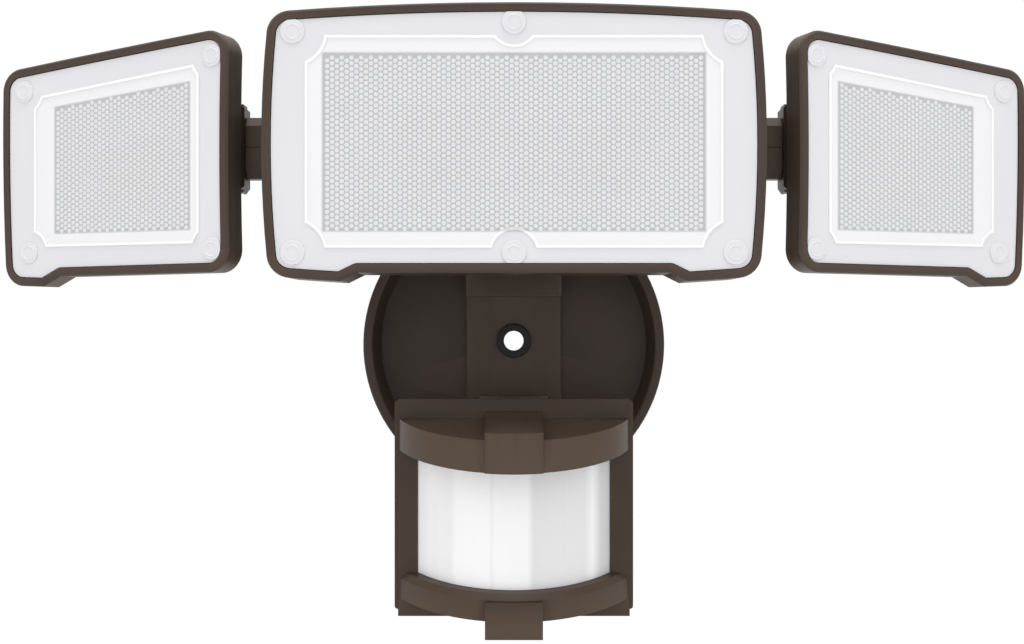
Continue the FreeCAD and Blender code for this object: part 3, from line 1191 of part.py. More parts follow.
def sensor_board():
    """Circuit board with the two potentiometers and the switch at its lower edge."""
    board = box(-PCB_HALF_WIDTH, PCB_HALF_WIDTH, PCB_BACK_Y, PCB_FRONT_Y, PCB_BOTTOM, PCB_TOP)
    low = CONTROL_FLOOR + KNOB_INSET + CONTROL_GAP
    stem_end = low + KNOB_STEM + HOLE_SPARE
    shelf = box(-KNOB_X - POT_HALF, KNOB_X + POT_HALF, PCB_BACK_Y, CONTROL_Y - POT_HALF,
                low + POT_HEIGHT, low + POT_HEIGHT + BOARD_THICKNESS)
    pieces = [board, shelf, box(-KNOB_X, KNOB_X, PCB_BACK_Y, PCB_FRONT_Y, low + POT_HEIGHT, PCB_BOTTOM + 1)]
    length = KNOB_STEM_RADIUS + SLIDER_TRAVEL + KNOB_HOLE_PLAY / 2
    width = KNOB_STEM_RADIUS + RUNNING
    for x, half in ((-KNOB_X, POT_HALF), (0, length + SWITCH_WALL), (KNOB_X, POT_HALF)):
        pieces.append(box(x - half, x + half, CONTROL_Y - POT_HALF + POT_INSET,
                          CONTROL_Y + POT_HALF - POT_INSET, low, low + POT_HEIGHT + BOARD_THICKNESS / 2))
    holes = [along_z(KNOB_STEM_RADIUS + RUNNING, x, CONTROL_Y, low - 1, stem_end) for x in control_places()]
    holes.append(box(-length, length, CONTROL_Y - width, CONTROL_Y + width, low - 1, stem_end))
    return cut(fuse(pieces), holes)


def pir_element():
    front_y = PCB_FRONT_Y - ELEMENT_HEIGHT
    can = along_y(ELEMENT_RADIUS, 0, ELEMENT_Z, PCB_FRONT_Y, front_y)
    window = box(-ELEMENT_WINDOW_HALF_WIDTH, ELEMENT_WINDOW_HALF_WIDTH, front_y + ELEMENT_WINDOW_DEPTH,
                 front_y - 1, ELEMENT_Z - ELEMENT_WINDOW_HALF_HEIGHT, ELEMENT_Z + ELEMENT_WINDOW_HALF_HEIGHT)
    return can.cut(window)


def photocell():
    return along_y(PHOTOCELL_RADIUS, PHOTOCELL_X, PHOTOCELL_Z, PCB_FRONT_Y, PCB_FRONT_Y - PHOTOCELL_HEIGHT)


def control_knob(x):
    """Slotted dial with a stem that turns in its potentiometer."""
    low, high = CONTROL_FLOOR - KNOB_PROUD, CONTROL_FLOOR + KNOB_INSET
    dial = along_z(KNOB_RADIUS, x, CONTROL_Y, low, high)
    rim = [e for e in dial.Edges if abs(e.CenterOfMass.z - low) < 1e-3 and e.Length > 1]
    dial = dial.makeChamfer(KNOB_EASE, rim)
    slot = box(x - KNOB_RADIUS - 1, x + KNOB_RADIUS + 1,
               CONTROL_Y - KNOB_SLOT / 2, CONTROL_Y + KNOB_SLOT / 2, low - 1, low + KNOB_SLOT)
    stem = along_z(KNOB_STEM_RADIUS, x, CONTROL_Y, high - 0.5, high + CONTROL_GAP + KNOB_STEM)
    return fuse([dial, stem]).cut(slot)


def mode_slider():
    low, high = CONTROL_FLOOR - KNOB_PROUD, CONTROL_FLOOR + KNOB_INSET
    button = box(-SLIDER_HALF_LENGTH, SLIDER_HALF_LENGTH, CONTROL_Y - SLIDER_HALF_WIDTH,
                 CONTROL_Y + SLIDER_HALF_WIDTH, low, high)
    stem = box(-KNOB_STEM_RADIUS, KNOB_STEM_RADIUS, CONTROL_Y - KNOB_STEM_RADIUS,
               CONTROL_Y + KNOB_STEM_RADIUS, high - 0.5, high + CONTROL_GAP + KNOB_STEM)
    return fuse([button, stem])


def sensor_base():
    """Block on the panel with two level ears for the sensor's swivel."""
    block = box(-SENSOR_BASE_HALF_WIDTH, SENSOR_BASE_HALF_WIDTH, PANEL_FRONT_Y, SENSOR_BASE_FRONT_Y,
                SENSOR_BASE_BOTTOM, SENSOR_BASE_TOP)
    rim = [e for e in block.Edges if abs(e.CenterOfMass.y - SENSOR_BASE_FRONT_Y) < 1e-3]
    pieces = [block.makeChamfer(SENSOR_BASE_EASE, rim)]
    inner = SENSOR_BARREL_HALF + SIDE_PLAY
    for sign in (-1, 1):
        z0, z1 = SENSOR_TILT_Z + sign * inner, SENSOR_TILT_Z + sign * (inner + EAR_THICKNESS)
        pieces.append(along_z(SENSOR_BARREL_RADIUS, 0, SWIVEL_Y, z0, z1))
        pieces.append(box(-SENSOR_BARREL_RADIUS, SENSOR_BARREL_RADIUS,
                          SENSOR_BASE_FRONT_Y + 2, SWIVEL_Y, z0, z1))
    reach = inner + EAR_THICKNESS + 1
    bore = along_z(SENSOR_PIN_RADIUS + SEAT, 0, SWIVEL_Y, SENSOR_TILT_Z - reach, SENSOR_TILT_Z + reach)
    return cut(fuse(pieces), [bore] + base_screw_holes())


def sensor_knuckle():
    """Upright barrel between the base's ears, with a lug for the tilt pin."""
    barrel = along_z(SENSOR_BARREL_RADIUS, 0, SWIVEL_Y, SENSOR_TILT_Z - SENSOR_BARREL_HALF,
                     SENSOR_TILT_Z + SENSOR_BARREL_HALF)
    arm = box(-SENSOR_LUG_HALF, SENSOR_LUG_HALF, SWIVEL_Y, SENSOR_TILT_Y,
              SENSOR_TILT_Z - SENSOR_BARREL_HALF, SENSOR_TILT_Z + SENSOR_BARREL_HALF)
    lug = along_x(SENSOR_BARREL_HALF, SENSOR_TILT_Y, SENSOR_TILT_Z, -SENSOR_LUG_HALF, SENSOR_LUG_HALF)
    reach = SENSOR_BARREL_HALF + 1
    upright = along_z(SENSOR_PIN_RADIUS + RUNNING, 0, SWIVEL_Y, SENSOR_TILT_Z - reach, SENSOR_TILT_Z + reach)
    level = along_x(SENSOR_PIN_RADIUS + RUNNING, SENSOR_TILT_Y, SENSOR_TILT_Z, -reach, reach)
    return cut(fuse([barrel, arm, lug]), [upright, level])


def headed_pin(start, direction, length):
    """Pin with a round head at its start."""
    shank = cylinder(SENSOR_PIN_RADIUS, start, start + direction * length)
    head = cylinder(SENSOR_PIN_HEAD_RADIUS, start - direction * SENSOR_PIN_HEAD, start)
    return fuse([shank, head])


def sensor_swivel_pin():
    reach = SENSOR_BARREL_HALF + SIDE_PLAY + EAR_THICKNESS
    return headed_pin(Vector(0, SWIVEL_Y, SENSOR_TILT_Z + reach), Vector(0, 0, -1), 2 * reach)


def sensor_tilt_pin():
    reach = SENSOR_LUG_HALF + SIDE_PLAY + SENSOR_EAR_WIDTH
    return headed_pin(Vector(reach, SENSOR_TILT_Y, SENSOR_TILT_Z), Vector(-1, 0, 0), 2 * reach)


def sensor_screws():
    length = COVER_BACK_Y - SENSOR_PLANE_Y + SENSOR_SCREW_BITE
    return [screw(SENSOR_SCREW_RADIUS, SENSOR_SCREW_HEAD_RADIUS, SENSOR_SCREW_HEAD,
                  Vector(x, COVER_BACK_Y, z), FORWARD, length) for x, z in sensor_screw_places()]


# ================================================================ assembly
def all_parts():
    parts = {
        "canopy": [canopy()],
        "canopy_gasket": [canopy_gasket()],
        "center_panel": [center_panel()],
        "bolt_grommet": [bolt_grommet()],
        "head_base": [head_base()],
        "driver_box": [driver_box()],
        "lead_bushing": [lead_bushing()],
        "base_screws": base_screws(),
        "tilt_bolt": [tilt_bolt()],
        "tilt_nut": [tilt_nut()],
        "sensor_base": [sensor_base()],
        "sensor_swivel_pin": [sensor_swivel_pin()],
        "sensor_knuckle": [sensor_knuckle()],
        "sensor_tilt_pin": [sensor_tilt_pin()],
        "sensor_back": [sensor_back()],
        "sensor_gasket": [sensor_gasket()],
        "sensor_front": [sensor_front()],
        "sensor_lens": [sensor_lens()],
        "sensor_board": [sensor_board()],
        "pir_element": [pir_element()],
        "photocell": [photocell()],
        "sensor_screws": sensor_screws(),
        "time_knob": [control_knob(-KNOB_X)],
        "dusk_knob": [control_knob(KNOB_X)],
        "mode_slider": [mode_slider()],
    }
    parts.update(center_parts())
    for name, shapes in side_parts().items():
        parts["right_" + name] = shapes
        parts["left_" + name] = [mirrored(shape) for shape in shapes]
    parts["arm_screws"] = [arm_screw(), mirrored(arm_screw())]
    return parts


def export(parts):
    os.makedirs("parts", exist_ok=True)
    for name, shapes in parts.items():
        solids = [solid for shape in shapes for solid in shape.Solids]
        whole = solids[0] if len(solids) == 1 else Part.makeCompound(solids)
        whole.exportStep("parts/" + name + ".step")


export(all_parts())
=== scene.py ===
import json
import math

import bpy
from mathutils import Matrix, Vector


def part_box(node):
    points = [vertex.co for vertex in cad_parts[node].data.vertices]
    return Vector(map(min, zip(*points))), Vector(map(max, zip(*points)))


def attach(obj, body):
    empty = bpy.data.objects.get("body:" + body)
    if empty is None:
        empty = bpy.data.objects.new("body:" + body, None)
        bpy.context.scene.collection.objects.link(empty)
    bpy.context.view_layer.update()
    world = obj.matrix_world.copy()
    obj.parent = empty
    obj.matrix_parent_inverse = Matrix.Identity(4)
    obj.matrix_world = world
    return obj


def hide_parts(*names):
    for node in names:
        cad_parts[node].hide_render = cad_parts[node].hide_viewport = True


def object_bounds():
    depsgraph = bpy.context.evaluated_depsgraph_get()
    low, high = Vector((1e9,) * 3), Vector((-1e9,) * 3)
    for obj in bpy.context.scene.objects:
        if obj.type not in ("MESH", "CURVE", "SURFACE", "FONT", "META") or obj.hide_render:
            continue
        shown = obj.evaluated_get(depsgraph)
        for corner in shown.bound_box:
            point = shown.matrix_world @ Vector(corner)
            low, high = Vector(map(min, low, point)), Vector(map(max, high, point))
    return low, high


# A wall-mounted security light with three heads and a motion sensor.
# Metres.  Left pieces are right ones mirrored in the plane x = 0.

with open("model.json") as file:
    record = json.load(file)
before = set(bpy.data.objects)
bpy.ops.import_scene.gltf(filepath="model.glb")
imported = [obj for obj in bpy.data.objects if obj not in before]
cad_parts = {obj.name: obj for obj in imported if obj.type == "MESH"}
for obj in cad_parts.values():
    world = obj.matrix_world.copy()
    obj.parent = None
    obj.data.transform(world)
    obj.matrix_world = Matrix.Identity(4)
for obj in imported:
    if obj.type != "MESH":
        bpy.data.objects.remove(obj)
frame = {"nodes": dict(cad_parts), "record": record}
cad_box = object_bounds()
CENTER_FRONT_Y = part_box("center_lens")[0].y      # the front of the lens's bosses

MM = 0.001

# Where the photograph was taken from
CAMERA_PLACE = (-0.7 * MM, -540.4 * MM, 7.6 * MM)
CAMERA_SENSOR_MM = 36.0
IMAGE_WIDTH = 1024
FOCAL_PIXELS = 1300.0

# Lens pattern: six-sided cells with flat tops
CELL_SIDE = 1.11 * MM
CELL_GAP = 0.40 * MM
CELL_HEIGHT = 0.16 * MM
CELL_SLOPE = 0.12 * MM
CELL_SINK = 0.02 * MM            # the foot of a cell lies this deep in the lens
LENS_BOSS_PROUD = 0.6 * MM
RIB_PROUD = 0.4 * MM             # the rib line stands this far off the lens

# Cell areas, from the head's centre, or from the side head's inner front edge
CENTER_CELLS_HALF_WIDTH = 65.9 * MM
CENTER_CELLS_TOP = 31.5 * MM
CENTER_CELLS_BOTTOM = -30.0 * MM
CENTER_MIDDLE_Z = 68.65 * MM
SIDE_CELLS_INNER = 16.2 * MM
SIDE_CELLS_OUTER = 74.4 * MM
SIDE_CELLS_BOTTOM = 40.0 * MM
SIDE_CELLS_TOP_INNER = 92.4 * MM
SIDE_CELLS_TOP_OUTER = 86.6 * MM
SIDE_YAW = math.radians(20.0)
SIDE_FRONT = Vector((99.0 * MM, -89.0 * MM, 0.0))

# The rib line, which parts the grey border from the bright middle
CENTER_RIB_HALF_WIDTH = 71.8 * MM
CENTER_RIB_TOP = 37.4 * MM
CENTER_RIB_BOTTOM = -35.6 * MM
SIDE_RIB_INNER = 12.4 * MM
SIDE_RIB_OUTER = 83.4 * MM
SIDE_RIB_BOTTOM = 35.2 * MM
SIDE_RIB_TOP_INNER = 98.4 * MM
SIDE_RIB_TOP_OUTER = 90.6 * MM

# Rings round the lens screws
CENTER_BOSSES = (
    (-76.05, 38.65), (76.05, 38.65), (-76.05, -37.25), (76.05, -37.25), (0, 41.95), (0, -37.25))
SIDE_BOSSES = ((87.9, 92.9), (7.2, 100.8), (85.8, 33.2), (7.2, 33.2))
CENTER_NOTCH = 11.1 * MM         # round bites of the rib at the bosses
CENTER_MIDDLE_NOTCH = 7.8 * MM
SIDE_NOTCH = 7.9 * MM
BOSS_RING_RADIUS = 2.5 * MM
BOSS_RING_WIRE = 0.22 * MM

# Stage
FLOOR_SIZE = 4.0
FLOOR_DROP = 0.05                # floor below the object
FLOOR_TONE = 0.9
FLOOR_ROUGHNESS = 0.9
SHADOW_REACH = 0.9
SHADOW_SHARE = 0.35
WORLD_LIGHT = 0.90
LAMP_TARGET = (0, -0.05, 0.02)
LAMPS = (
    ("key", (-0.5, -1.1, 0.9), 1.0, 1.0),
    ("fill", (0.8, -1.0, 0.3), 1.0, 0.5),
    ("top", (0, -0.25, 1.2), 0.8, 7.0))

# Bronze finishes
BRONZE_COAT = (0.050, 0.0350, 0.0265)
BRONZE_MOULDING = (0.052, 0.0350, 0.0240)
COAT_SPECULAR = 0.22

# Lens colours and how much each part hides
LENS_BORDER = (0.77, 0.77, 0.80)
LENS_BAND = (0.88, 0.88, 0.90)
LENS_JOINTS = (0.72, 0.72, 0.75)
LENS_RIB = (0.97, 0.97, 0.97)
LENS_BORDER_ALPHA = 0.94
LENS_CELLS_ALPHA = 0.62
CELL_ALPHA = 0.66
CELL_WHITE = (0.97, 0.97, 0.97)

# Soft crossings between a lens's areas
RIB_BLUR = 0.3 * MM
CELLS_BLUR = 0.8 * MM
LEVEL_BLUR = 0.1 * MM

# Surface texture: noise scales are per metre, swings are to each side of the roughness
FINE_DETAIL = 2.0
CLOUD_SCALE, CLOUD_DETAIL = 38.0, 4.0
GLOSS_SCALE, GLOSS_SWING = 120.0, 0.05
RELIEF, RELIEF_DEPTH = 0.25, 0.04 * MM

COAT_CLOUD_SCALE, COAT_CLOUD_DETAIL = 30.0, 5.0
COAT_CLOUD_TONES = (0.92, 1.08)
COAT_GLOSS_SCALE, COAT_GLOSS_SWING = 160.0, 0.06
COAT_RELIEF, COAT_RELIEF_DEPTH, COAT_DETAIL = 0.22, 0.05 * MM, 3.0
EDGE_HIGHLIGHT_SPAN = (0.53, 0.62)         # pointiness where the painted edge highlight starts, and where it is brightest
# Painted highlight: how much paler the edges are made
EDGE_HIGHLIGHT_TONE = 1.6

LENS_CLOUD_SCALE, LENS_CLOUD_TONE = 24.0, 1.02
LENS_GLOSS_SCALE, LENS_ROUGHNESS = 90.0, (0.28, 0.36)
LENS_RELIEF_SCALE, LENS_RELIEF = 900.0, 0.15
SHEET_RELIEF_DEPTH = 0.02 * MM   # on the lamp lenses and the sensor lens

# Sensor lens: upright bands of the segments' own clarity and painted facet reflections, as (place across in
# millimetres, tone)
WINDOW_HALF = 36.0 * MM
WINDOW_CLARITY_AND_SHEEN_BANDS = ((-36, 0.90), (-23, 0.86), (-21, 0.95), (-9, 0.95), (-8, 0.88), (-7, 0.94), (5, 0.93),
                (7, 0.76), (26, 0.78), (29, 0.93), (32, 0.66), (36, 0.64))
FACETS = 15
FACET_THICKNESS = 1.1 * MM
LENS_SIDE_DEPTH = 3.0 * MM       # straight side behind the bow
SENSOR_SLOPE = 0.2               # top and bottom edge rise this much per metre toward the back
WINDOW_BLUE = 1.012
WINDOW_GLOSS_SCALE, WINDOW_GLOSS_STRETCH, WINDOW_ROUGHNESS = 140.0, (1, 1, 0.1), (0.2, 0.3)
WINDOW_RELIEF_SCALE, WINDOW_RELIEF_STRETCH, WINDOW_RELIEF = 600.0, (1, 1, 0.08), 0.2


# ---------------------------------------------------------------- materials
def shader(name):
    """New node material; returns it with its tree and its main shader."""
    material = bpy.data.materials.new(name)
    material.use_nodes = True
    tree = material.node_tree
    return material, tree, tree.nodes["Principled BSDF"]


def noise(tree, scale, detail=3.0, stretch=(1, 1, 1)):
    """Noise in object space, which is the light's own frame in metres."""
    place = tree.nodes.new("ShaderNodeTexCoord")
    mapping = tree.nodes.new("ShaderNodeMapping")
    mapping.inputs["Scale"].default_value = stretch
    tree.links.new(place.outputs["Object"], mapping.inputs["Vector"])
    texture = tree.nodes.new("ShaderNodeTexNoise")
    texture.inputs["Scale"].default_value = scale
    texture.inputs["Detail"].default_value = detail
    tree.links.new(mapping.outputs["Vector"], texture.inputs["Vector"])
    return texture.outputs["Fac"]


def ramp(tree, value, low, high, span=(0.35, 0.65)):
    """Colour that runs from low to high as the value crosses the span."""
    node = tree.nodes.new("ShaderNodeValToRGB")
    node.color_ramp.elements[0].position = span[0]
    node.color_ramp.elements[1].position = span[1]
    node.color_ramp.elements[0].color = (*low, 1)
    node.color_ramp.elements[1].color = (*high, 1)
    tree.links.new(value, node.inputs["Fac"])
    return node.outputs["Color"]


def spread(tree, value, low, high):
    """Number that runs from low to high as the value goes from 0 to 1."""
    node = tree.nodes.new("ShaderNodeMapRange")
    node.inputs["To Min"].default_value = low
    node.inputs["To Max"].default_value = high
    tree.links.new(value, node.inputs["Value"])
    return node.outputs["Result"]


def bump(tree, main, value, strength, distance):
    """Relief of the shader from a height."""
    node = tree.nodes.new("ShaderNodeBump")
    node.inputs["Strength"].default_value = strength
    node.inputs["Distance"].default_value = distance
    tree.links.new(value, node.inputs["Height"])
    tree.links.new(node.outputs["Normal"], main.inputs["Normal"])


def shade(color, factor):
    """The colour made darker or lighter, up to full."""
    return tuple(min(1.0, channel * factor) for channel in color)


def finish_of(name, color, rough, grain, vary=0.07, metallic=0.0, alpha=1.0, stretch=(1, 1, 1)):
    """A surface with slight clouding, uneven gloss and a fine relief."""
    material, tree, main = shader(name)
    clouds = noise(tree, CLOUD_SCALE, CLOUD_DETAIL, stretch)
    tone = ramp(tree, clouds, shade(color, 1 - vary), shade(color, 1 + vary))
    tree.links.new(tone, main.inputs["Base Color"])
    gloss = noise(tree, GLOSS_SCALE, FINE_DETAIL, stretch)
    tree.links.new(spread(tree, gloss, rough - GLOSS_SWING, rough + GLOSS_SWING), main.inputs["Roughness"])
    bump(tree, main, noise(tree, grain, FINE_DETAIL, stretch), RELIEF, RELIEF_DEPTH)
    main.inputs["Metallic"].default_value = metallic
    main.inputs["Alpha"].default_value = alpha
    return material


def maths(tree, operation, first, second=0.0):
    """One step of arithmetic on sockets or numbers."""
    node = tree.nodes.new("ShaderNodeMath")
    node.operation = operation
    for socket, value in zip(node.inputs, (first, second)):
        if isinstance(value, (int, float)):
            socket.default_value = value
        else:
            tree.links.new(value, socket)
    return node.outputs["Value"]


def step_over(tree, value, edge, soft):
    """0 below an edge and 1 above it, with a soft crossing."""
    scaled = maths(tree, "DIVIDE", maths(tree, "SUBTRACT", value, edge - soft / 2), soft)
    return maths(tree, "MINIMUM", maths(tree, "MAXIMUM", scaled, 0.0), 1.0)


def head_axes(tree, turn, origin):
    """Across, depth and height in a head's own frame, from the light's own frame."""
    place = tree.nodes.new("ShaderNodeTexCoord")
    mapping = tree.nodes.new("ShaderNodeMapping")
    mapping.vector_type = "TEXTURE"
    mapping.inputs["Location"].default_value = origin
    mapping.inputs["Rotation"].default_value = (0, 0, turn)
    tree.links.new(place.outputs["Object"], mapping.inputs["Vector"])
    split = tree.nodes.new("ShaderNodeSeparateXYZ")
    tree.links.new(mapping.outputs["Vector"], split.inputs["Vector"])
    return split.outputs["X"], split.outputs["Y"], split.outputs["Z"]


def within_four(tree, x, z, x0, x1, z0, top_inner, top_outer, soft):
    """1 inside a four-sided area with upright sides and a sloped top."""
    slope = (top_outer - top_inner) / (x1 - x0)
    top = maths(tree, "SUBTRACT", z, maths(tree, "MULTIPLY", maths(tree, "SUBTRACT", x, x0), slope))
    inside = step_over(tree, x, x0, soft)
    for value, edge in ((maths(tree, "MULTIPLY", x, -1.0), -x1),
                        (maths(tree, "MULTIPLY", top, -1.0), -top_inner)):
        inside = maths(tree, "MULTIPLY", inside, step_over(tree, value, edge, soft))
    return maths(tree, "MULTIPLY", inside, step_over(tree, z, z0, soft))


def outside_round(tree, x, z, center, radius, soft):
    """0 inside a circle and 1 outside it."""
    across = maths(tree, "SUBTRACT", x, center[0])
    up = maths(tree, "SUBTRACT", z, center[1])
    reach = maths(tree, "SQRT", maths(tree, "ADD", maths(tree, "MULTIPLY", across, across),
                                      maths(tree, "MULTIPLY", up, up)))
    return step_over(tree, reach, radius, soft)


def blend_colors(tree, factor, low, high):
    """Colour that goes from low to high with the factor; each is a colour or a socket."""
    mix = tree.nodes.new("ShaderNodeMix")
    mix.data_type = "RGBA"
    tree.links.new(factor, mix.inputs["Factor"])
    for socket, color in ((mix.inputs["A"], low), (mix.inputs["B"], high)):
        if isinstance(color, tuple):
            socket.default_value = (*color, 1)
        else:
            tree.links.new(color, socket)
    return mix.outputs["Result"]


def lamp_lens(name, turn, origin, mirror, rib, cells, notches):
    """Frosted cover: grey border, white rib, pale band and a clearer middle with grey joints."""
    material, tree, main = shader(name)
    x, y, z = head_axes(tree, turn, origin)
    if mirror:
        x = maths(tree, "MULTIPLY", x, -1.0)
    inside_rib = within_four(tree, x, z, *rib, RIB_BLUR)
    for center, radius in notches:
        outside_notch = outside_round(tree, x, z, center, radius, RIB_BLUR)
        inside_rib = maths(tree, "MULTIPLY", inside_rib, outside_notch)
    inside_cells = within_four(tree, x, z, *cells, CELLS_BLUR)
    rib_level = -(LENS_BOSS_PROUD - RIB_PROUD / 2)
    raised = step_over(tree, maths(tree, "MULTIPLY", y, -1.0), rib_level, LEVEL_BLUR)
    rib_line = maths(tree, "MULTIPLY", raised, inside_rib)

    clouds = noise(tree, LENS_CLOUD_SCALE, FINE_DETAIL)
    border = ramp(tree, clouds, LENS_BORDER, shade(LENS_BORDER, LENS_CLOUD_TONE))
    color = blend_colors(tree, inside_rib, border, LENS_BAND)
    color = blend_colors(tree, inside_cells, color, LENS_JOINTS)
    color = blend_colors(tree, rib_line, color, LENS_RIB)
    tree.links.new(color, main.inputs["Base Color"])
    alpha = maths(tree, "SUBTRACT", LENS_BORDER_ALPHA,
                  maths(tree, "MULTIPLY", inside_cells, LENS_BORDER_ALPHA - LENS_CELLS_ALPHA))
    tree.links.new(alpha, main.inputs["Alpha"])
    gloss = noise(tree, LENS_GLOSS_SCALE, FINE_DETAIL)
    tree.links.new(spread(tree, gloss, *LENS_ROUGHNESS), main.inputs["Roughness"])
    bump(tree, main, noise(tree, LENS_RELIEF_SCALE, FINE_DETAIL), LENS_RELIEF, SHEET_RELIEF_DEPTH)
    return material


def make_lens_finishes():
    """The three lamp lenses, each in its own head's frame."""
    center_notches = [((x * MM, z * MM), CENTER_MIDDLE_NOTCH if x == 0 else CENTER_NOTCH)
                      for x, z in CENTER_BOSSES]
    side_notches = [((x * MM, z * MM), SIDE_NOTCH) for x, z in SIDE_BOSSES]
    side_rib = (SIDE_RIB_INNER, SIDE_RIB_OUTER, SIDE_RIB_BOTTOM, SIDE_RIB_TOP_INNER, SIDE_RIB_TOP_OUTER)
    side_cells = (SIDE_CELLS_INNER, SIDE_CELLS_OUTER, SIDE_CELLS_BOTTOM,
                  SIDE_CELLS_TOP_INNER, SIDE_CELLS_TOP_OUTER)
    center_origin = (0, CENTER_FRONT_Y, CENTER_MIDDLE_Z)
    return {
        "center_lens": lamp_lens(
            "frosted_center", 0.0, center_origin, False,
            (-CENTER_RIB_HALF_WIDTH, CENTER_RIB_HALF_WIDTH, CENTER_RIB_BOTTOM,
             CENTER_RIB_TOP, CENTER_RIB_TOP),
            (-CENTER_CELLS_HALF_WIDTH, CENTER_CELLS_HALF_WIDTH, CENTER_CELLS_BOTTOM,
             CENTER_CELLS_TOP, CENTER_CELLS_TOP), center_notches),
        "right_lens": lamp_lens("frosted_right", SIDE_YAW, tuple(SIDE_FRONT), False,
                                side_rib, side_cells, side_notches),
        "left_lens": lamp_lens("frosted_left", -SIDE_YAW, (-SIDE_FRONT.x, SIDE_FRONT.y, 0), True,
                               side_rib, side_cells, side_notches),
    }


def sensor_window(name):
    """Milky sheet with paler and darker upright bands, partly its own clarity and partly painted
    reflections off its facets.
    """
    material, tree, main = shader(name)
    x, _, _ = head_axes(tree, 0.0, (0, 0, 0))
    # Painted reflection: the band tones stand in for light off the facets, as well as the sheet's own
    # clarity.
    tone = tree.nodes.new("ShaderNodeValToRGB")
    share = maths(tree, "DIVIDE", maths(tree, "ADD", x, WINDOW_HALF), 2 * WINDOW_HALF)
    tree.links.new(share, tone.inputs["Fac"])
    stops = tone.color_ramp.elements
    for index, (place, level) in enumerate(WINDOW_CLARITY_AND_SHEEN_BANDS):
        position = (place * MM + WINDOW_HALF) / (2 * WINDOW_HALF)
        stop = stops[index] if index < 2 else stops.new(position)
        stop.position = position
        stop.color = (level, level, level * WINDOW_BLUE, 1)
    tree.links.new(tone.outputs["Color"], main.inputs["Base Color"])
    gloss = noise(tree, WINDOW_GLOSS_SCALE, FINE_DETAIL, WINDOW_GLOSS_STRETCH)
    tree.links.new(spread(tree, gloss, *WINDOW_ROUGHNESS), main.inputs["Roughness"])
    grain = noise(tree, WINDOW_RELIEF_SCALE, FINE_DETAIL, WINDOW_RELIEF_STRETCH)
    bump(tree, main, grain, WINDOW_RELIEF, SHEET_RELIEF_DEPTH)
    return material


def coat_with_edge_highlight(name, color, rough, grain):
    """Powder coat: fine peel, clouding, and a painted highlight that makes the edges paler."""
    material, tree, main = shader(name)
    dark, pale = COAT_CLOUD_TONES
    clouds = noise(tree, COAT_CLOUD_SCALE, COAT_CLOUD_DETAIL)
    tone = ramp(tree, clouds, shade(color, dark), shade(color, pale))
    # Painted highlight: edges, found by their pointiness, are made paler as if light caught them.
    edge = tree.nodes.new("ShaderNodeNewGeometry")
    edge_highlight = ramp(tree, edge.outputs["Pointiness"], (0, 0, 0), (1, 1, 1), EDGE_HIGHLIGHT_SPAN)
    tree.links.new(blend_colors(tree, edge_highlight, tone, shade(color, EDGE_HIGHLIGHT_TONE)), main.inputs["Base Color"])
    gloss = spread(tree, noise(tree, COAT_GLOSS_SCALE, FINE_DETAIL),
                   rough - COAT_GLOSS_SWING, rough + COAT_GLOSS_SWING)
    tree.links.new(gloss, main.inputs["Roughness"])
    main.inputs["Specular IOR Level"].default_value = COAT_SPECULAR
    bump(tree, main, noise(tree, grain, COAT_DETAIL), COAT_RELIEF, COAT_RELIEF_DEPTH)
    return material


def make_finishes():
    """One finish for each material slot."""
    return {
        "bronze_metal": coat_with_edge_highlight("bronze_coat", BRONZE_COAT, 0.42, 1500.0),
        "bronze_plastic": coat_with_edge_highlight("bronze_moulding", BRONZE_MOULDING, 0.38, 1900.0),
        "black_rubber": finish_of("soft_rubber", (0.018, 0.018, 0.018), 0.8, 900.0),
        "black_plastic": finish_of("black_moulding", (0.02, 0.02, 0.021), 0.5, 1600.0),
        "steel": finish_of("zinc", (0.42, 0.41, 0.40), 0.34, 700.0, metallic=1.0, stretch=(1, 1, 6)),
        "lamp_lens": finish_of("frosted_rings", shade(LENS_BORDER, 1.04), 0.3, 1200.0, vary=0.012),
        "sensor_lens": sensor_window("milky_window"),
        "white_tray": finish_of("white_tray", (0.86, 0.87, 0.88), 0.4, 800.0, vary=0.015),
        "led_board": finish_of("board_mask", (0.22, 0.23, 0.27), 0.45, 600.0, vary=0.03),
        "led": finish_of("phosphor", (0.95, 0.92, 0.40), 0.5, 2000.0, vary=0.05),
        "circuit_board": finish_of("green_mask", (0.02, 0.12, 0.05), 0.35, 500.0),
        "photocell": finish_of("amber_window", (0.40, 0.20, 0.10), 0.25, 900.0),
    }


def paint_cad_nodes(finishes):
    """Each solid gets the finish of its own name, or else its slot's."""
    slots = {part["node"]: part["material_slot"] for part in frame["record"]["subparts"]}
    for name, node in frame["nodes"].items():
        if not node.material_slots:
            node.data.materials.append(None)
        for material_slot in node.material_slots:
            material_slot.material = finishes.get(name, finishes[slots[name]])


# ---------------------------------------------------------------- pieces
def new_piece(name, points, faces, material, body, slot):
    """New mesh object that rides a body."""
    mesh = bpy.data.meshes.new(name)
    mesh.from_pydata([tuple(point) for point in points], [], faces)
    mesh.update()
    piece = bpy.data.objects.new(name, mesh)
    bpy.context.scene.collection.objects.link(piece)
    mesh.materials.append(material)
    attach(piece, body)
    return piece


def center_point(x, depth, z):
    """A point on the centre head, its depth counted from the lens's front."""
    return Vector((x, CENTER_FRONT_Y + LENS_BOSS_PROUD + depth, CENTER_MIDDLE_Z + z))


def side_point(x, depth, z, sign):
    """A point on a side head, given in that head's own frame."""
    local = Vector((x, LENS_BOSS_PROUD + depth, z))
    place = Matrix.Rotation(SIDE_YAW, 3, "Z") @ local + SIDE_FRONT
    return Vector((sign * place.x, place.y, place.z))


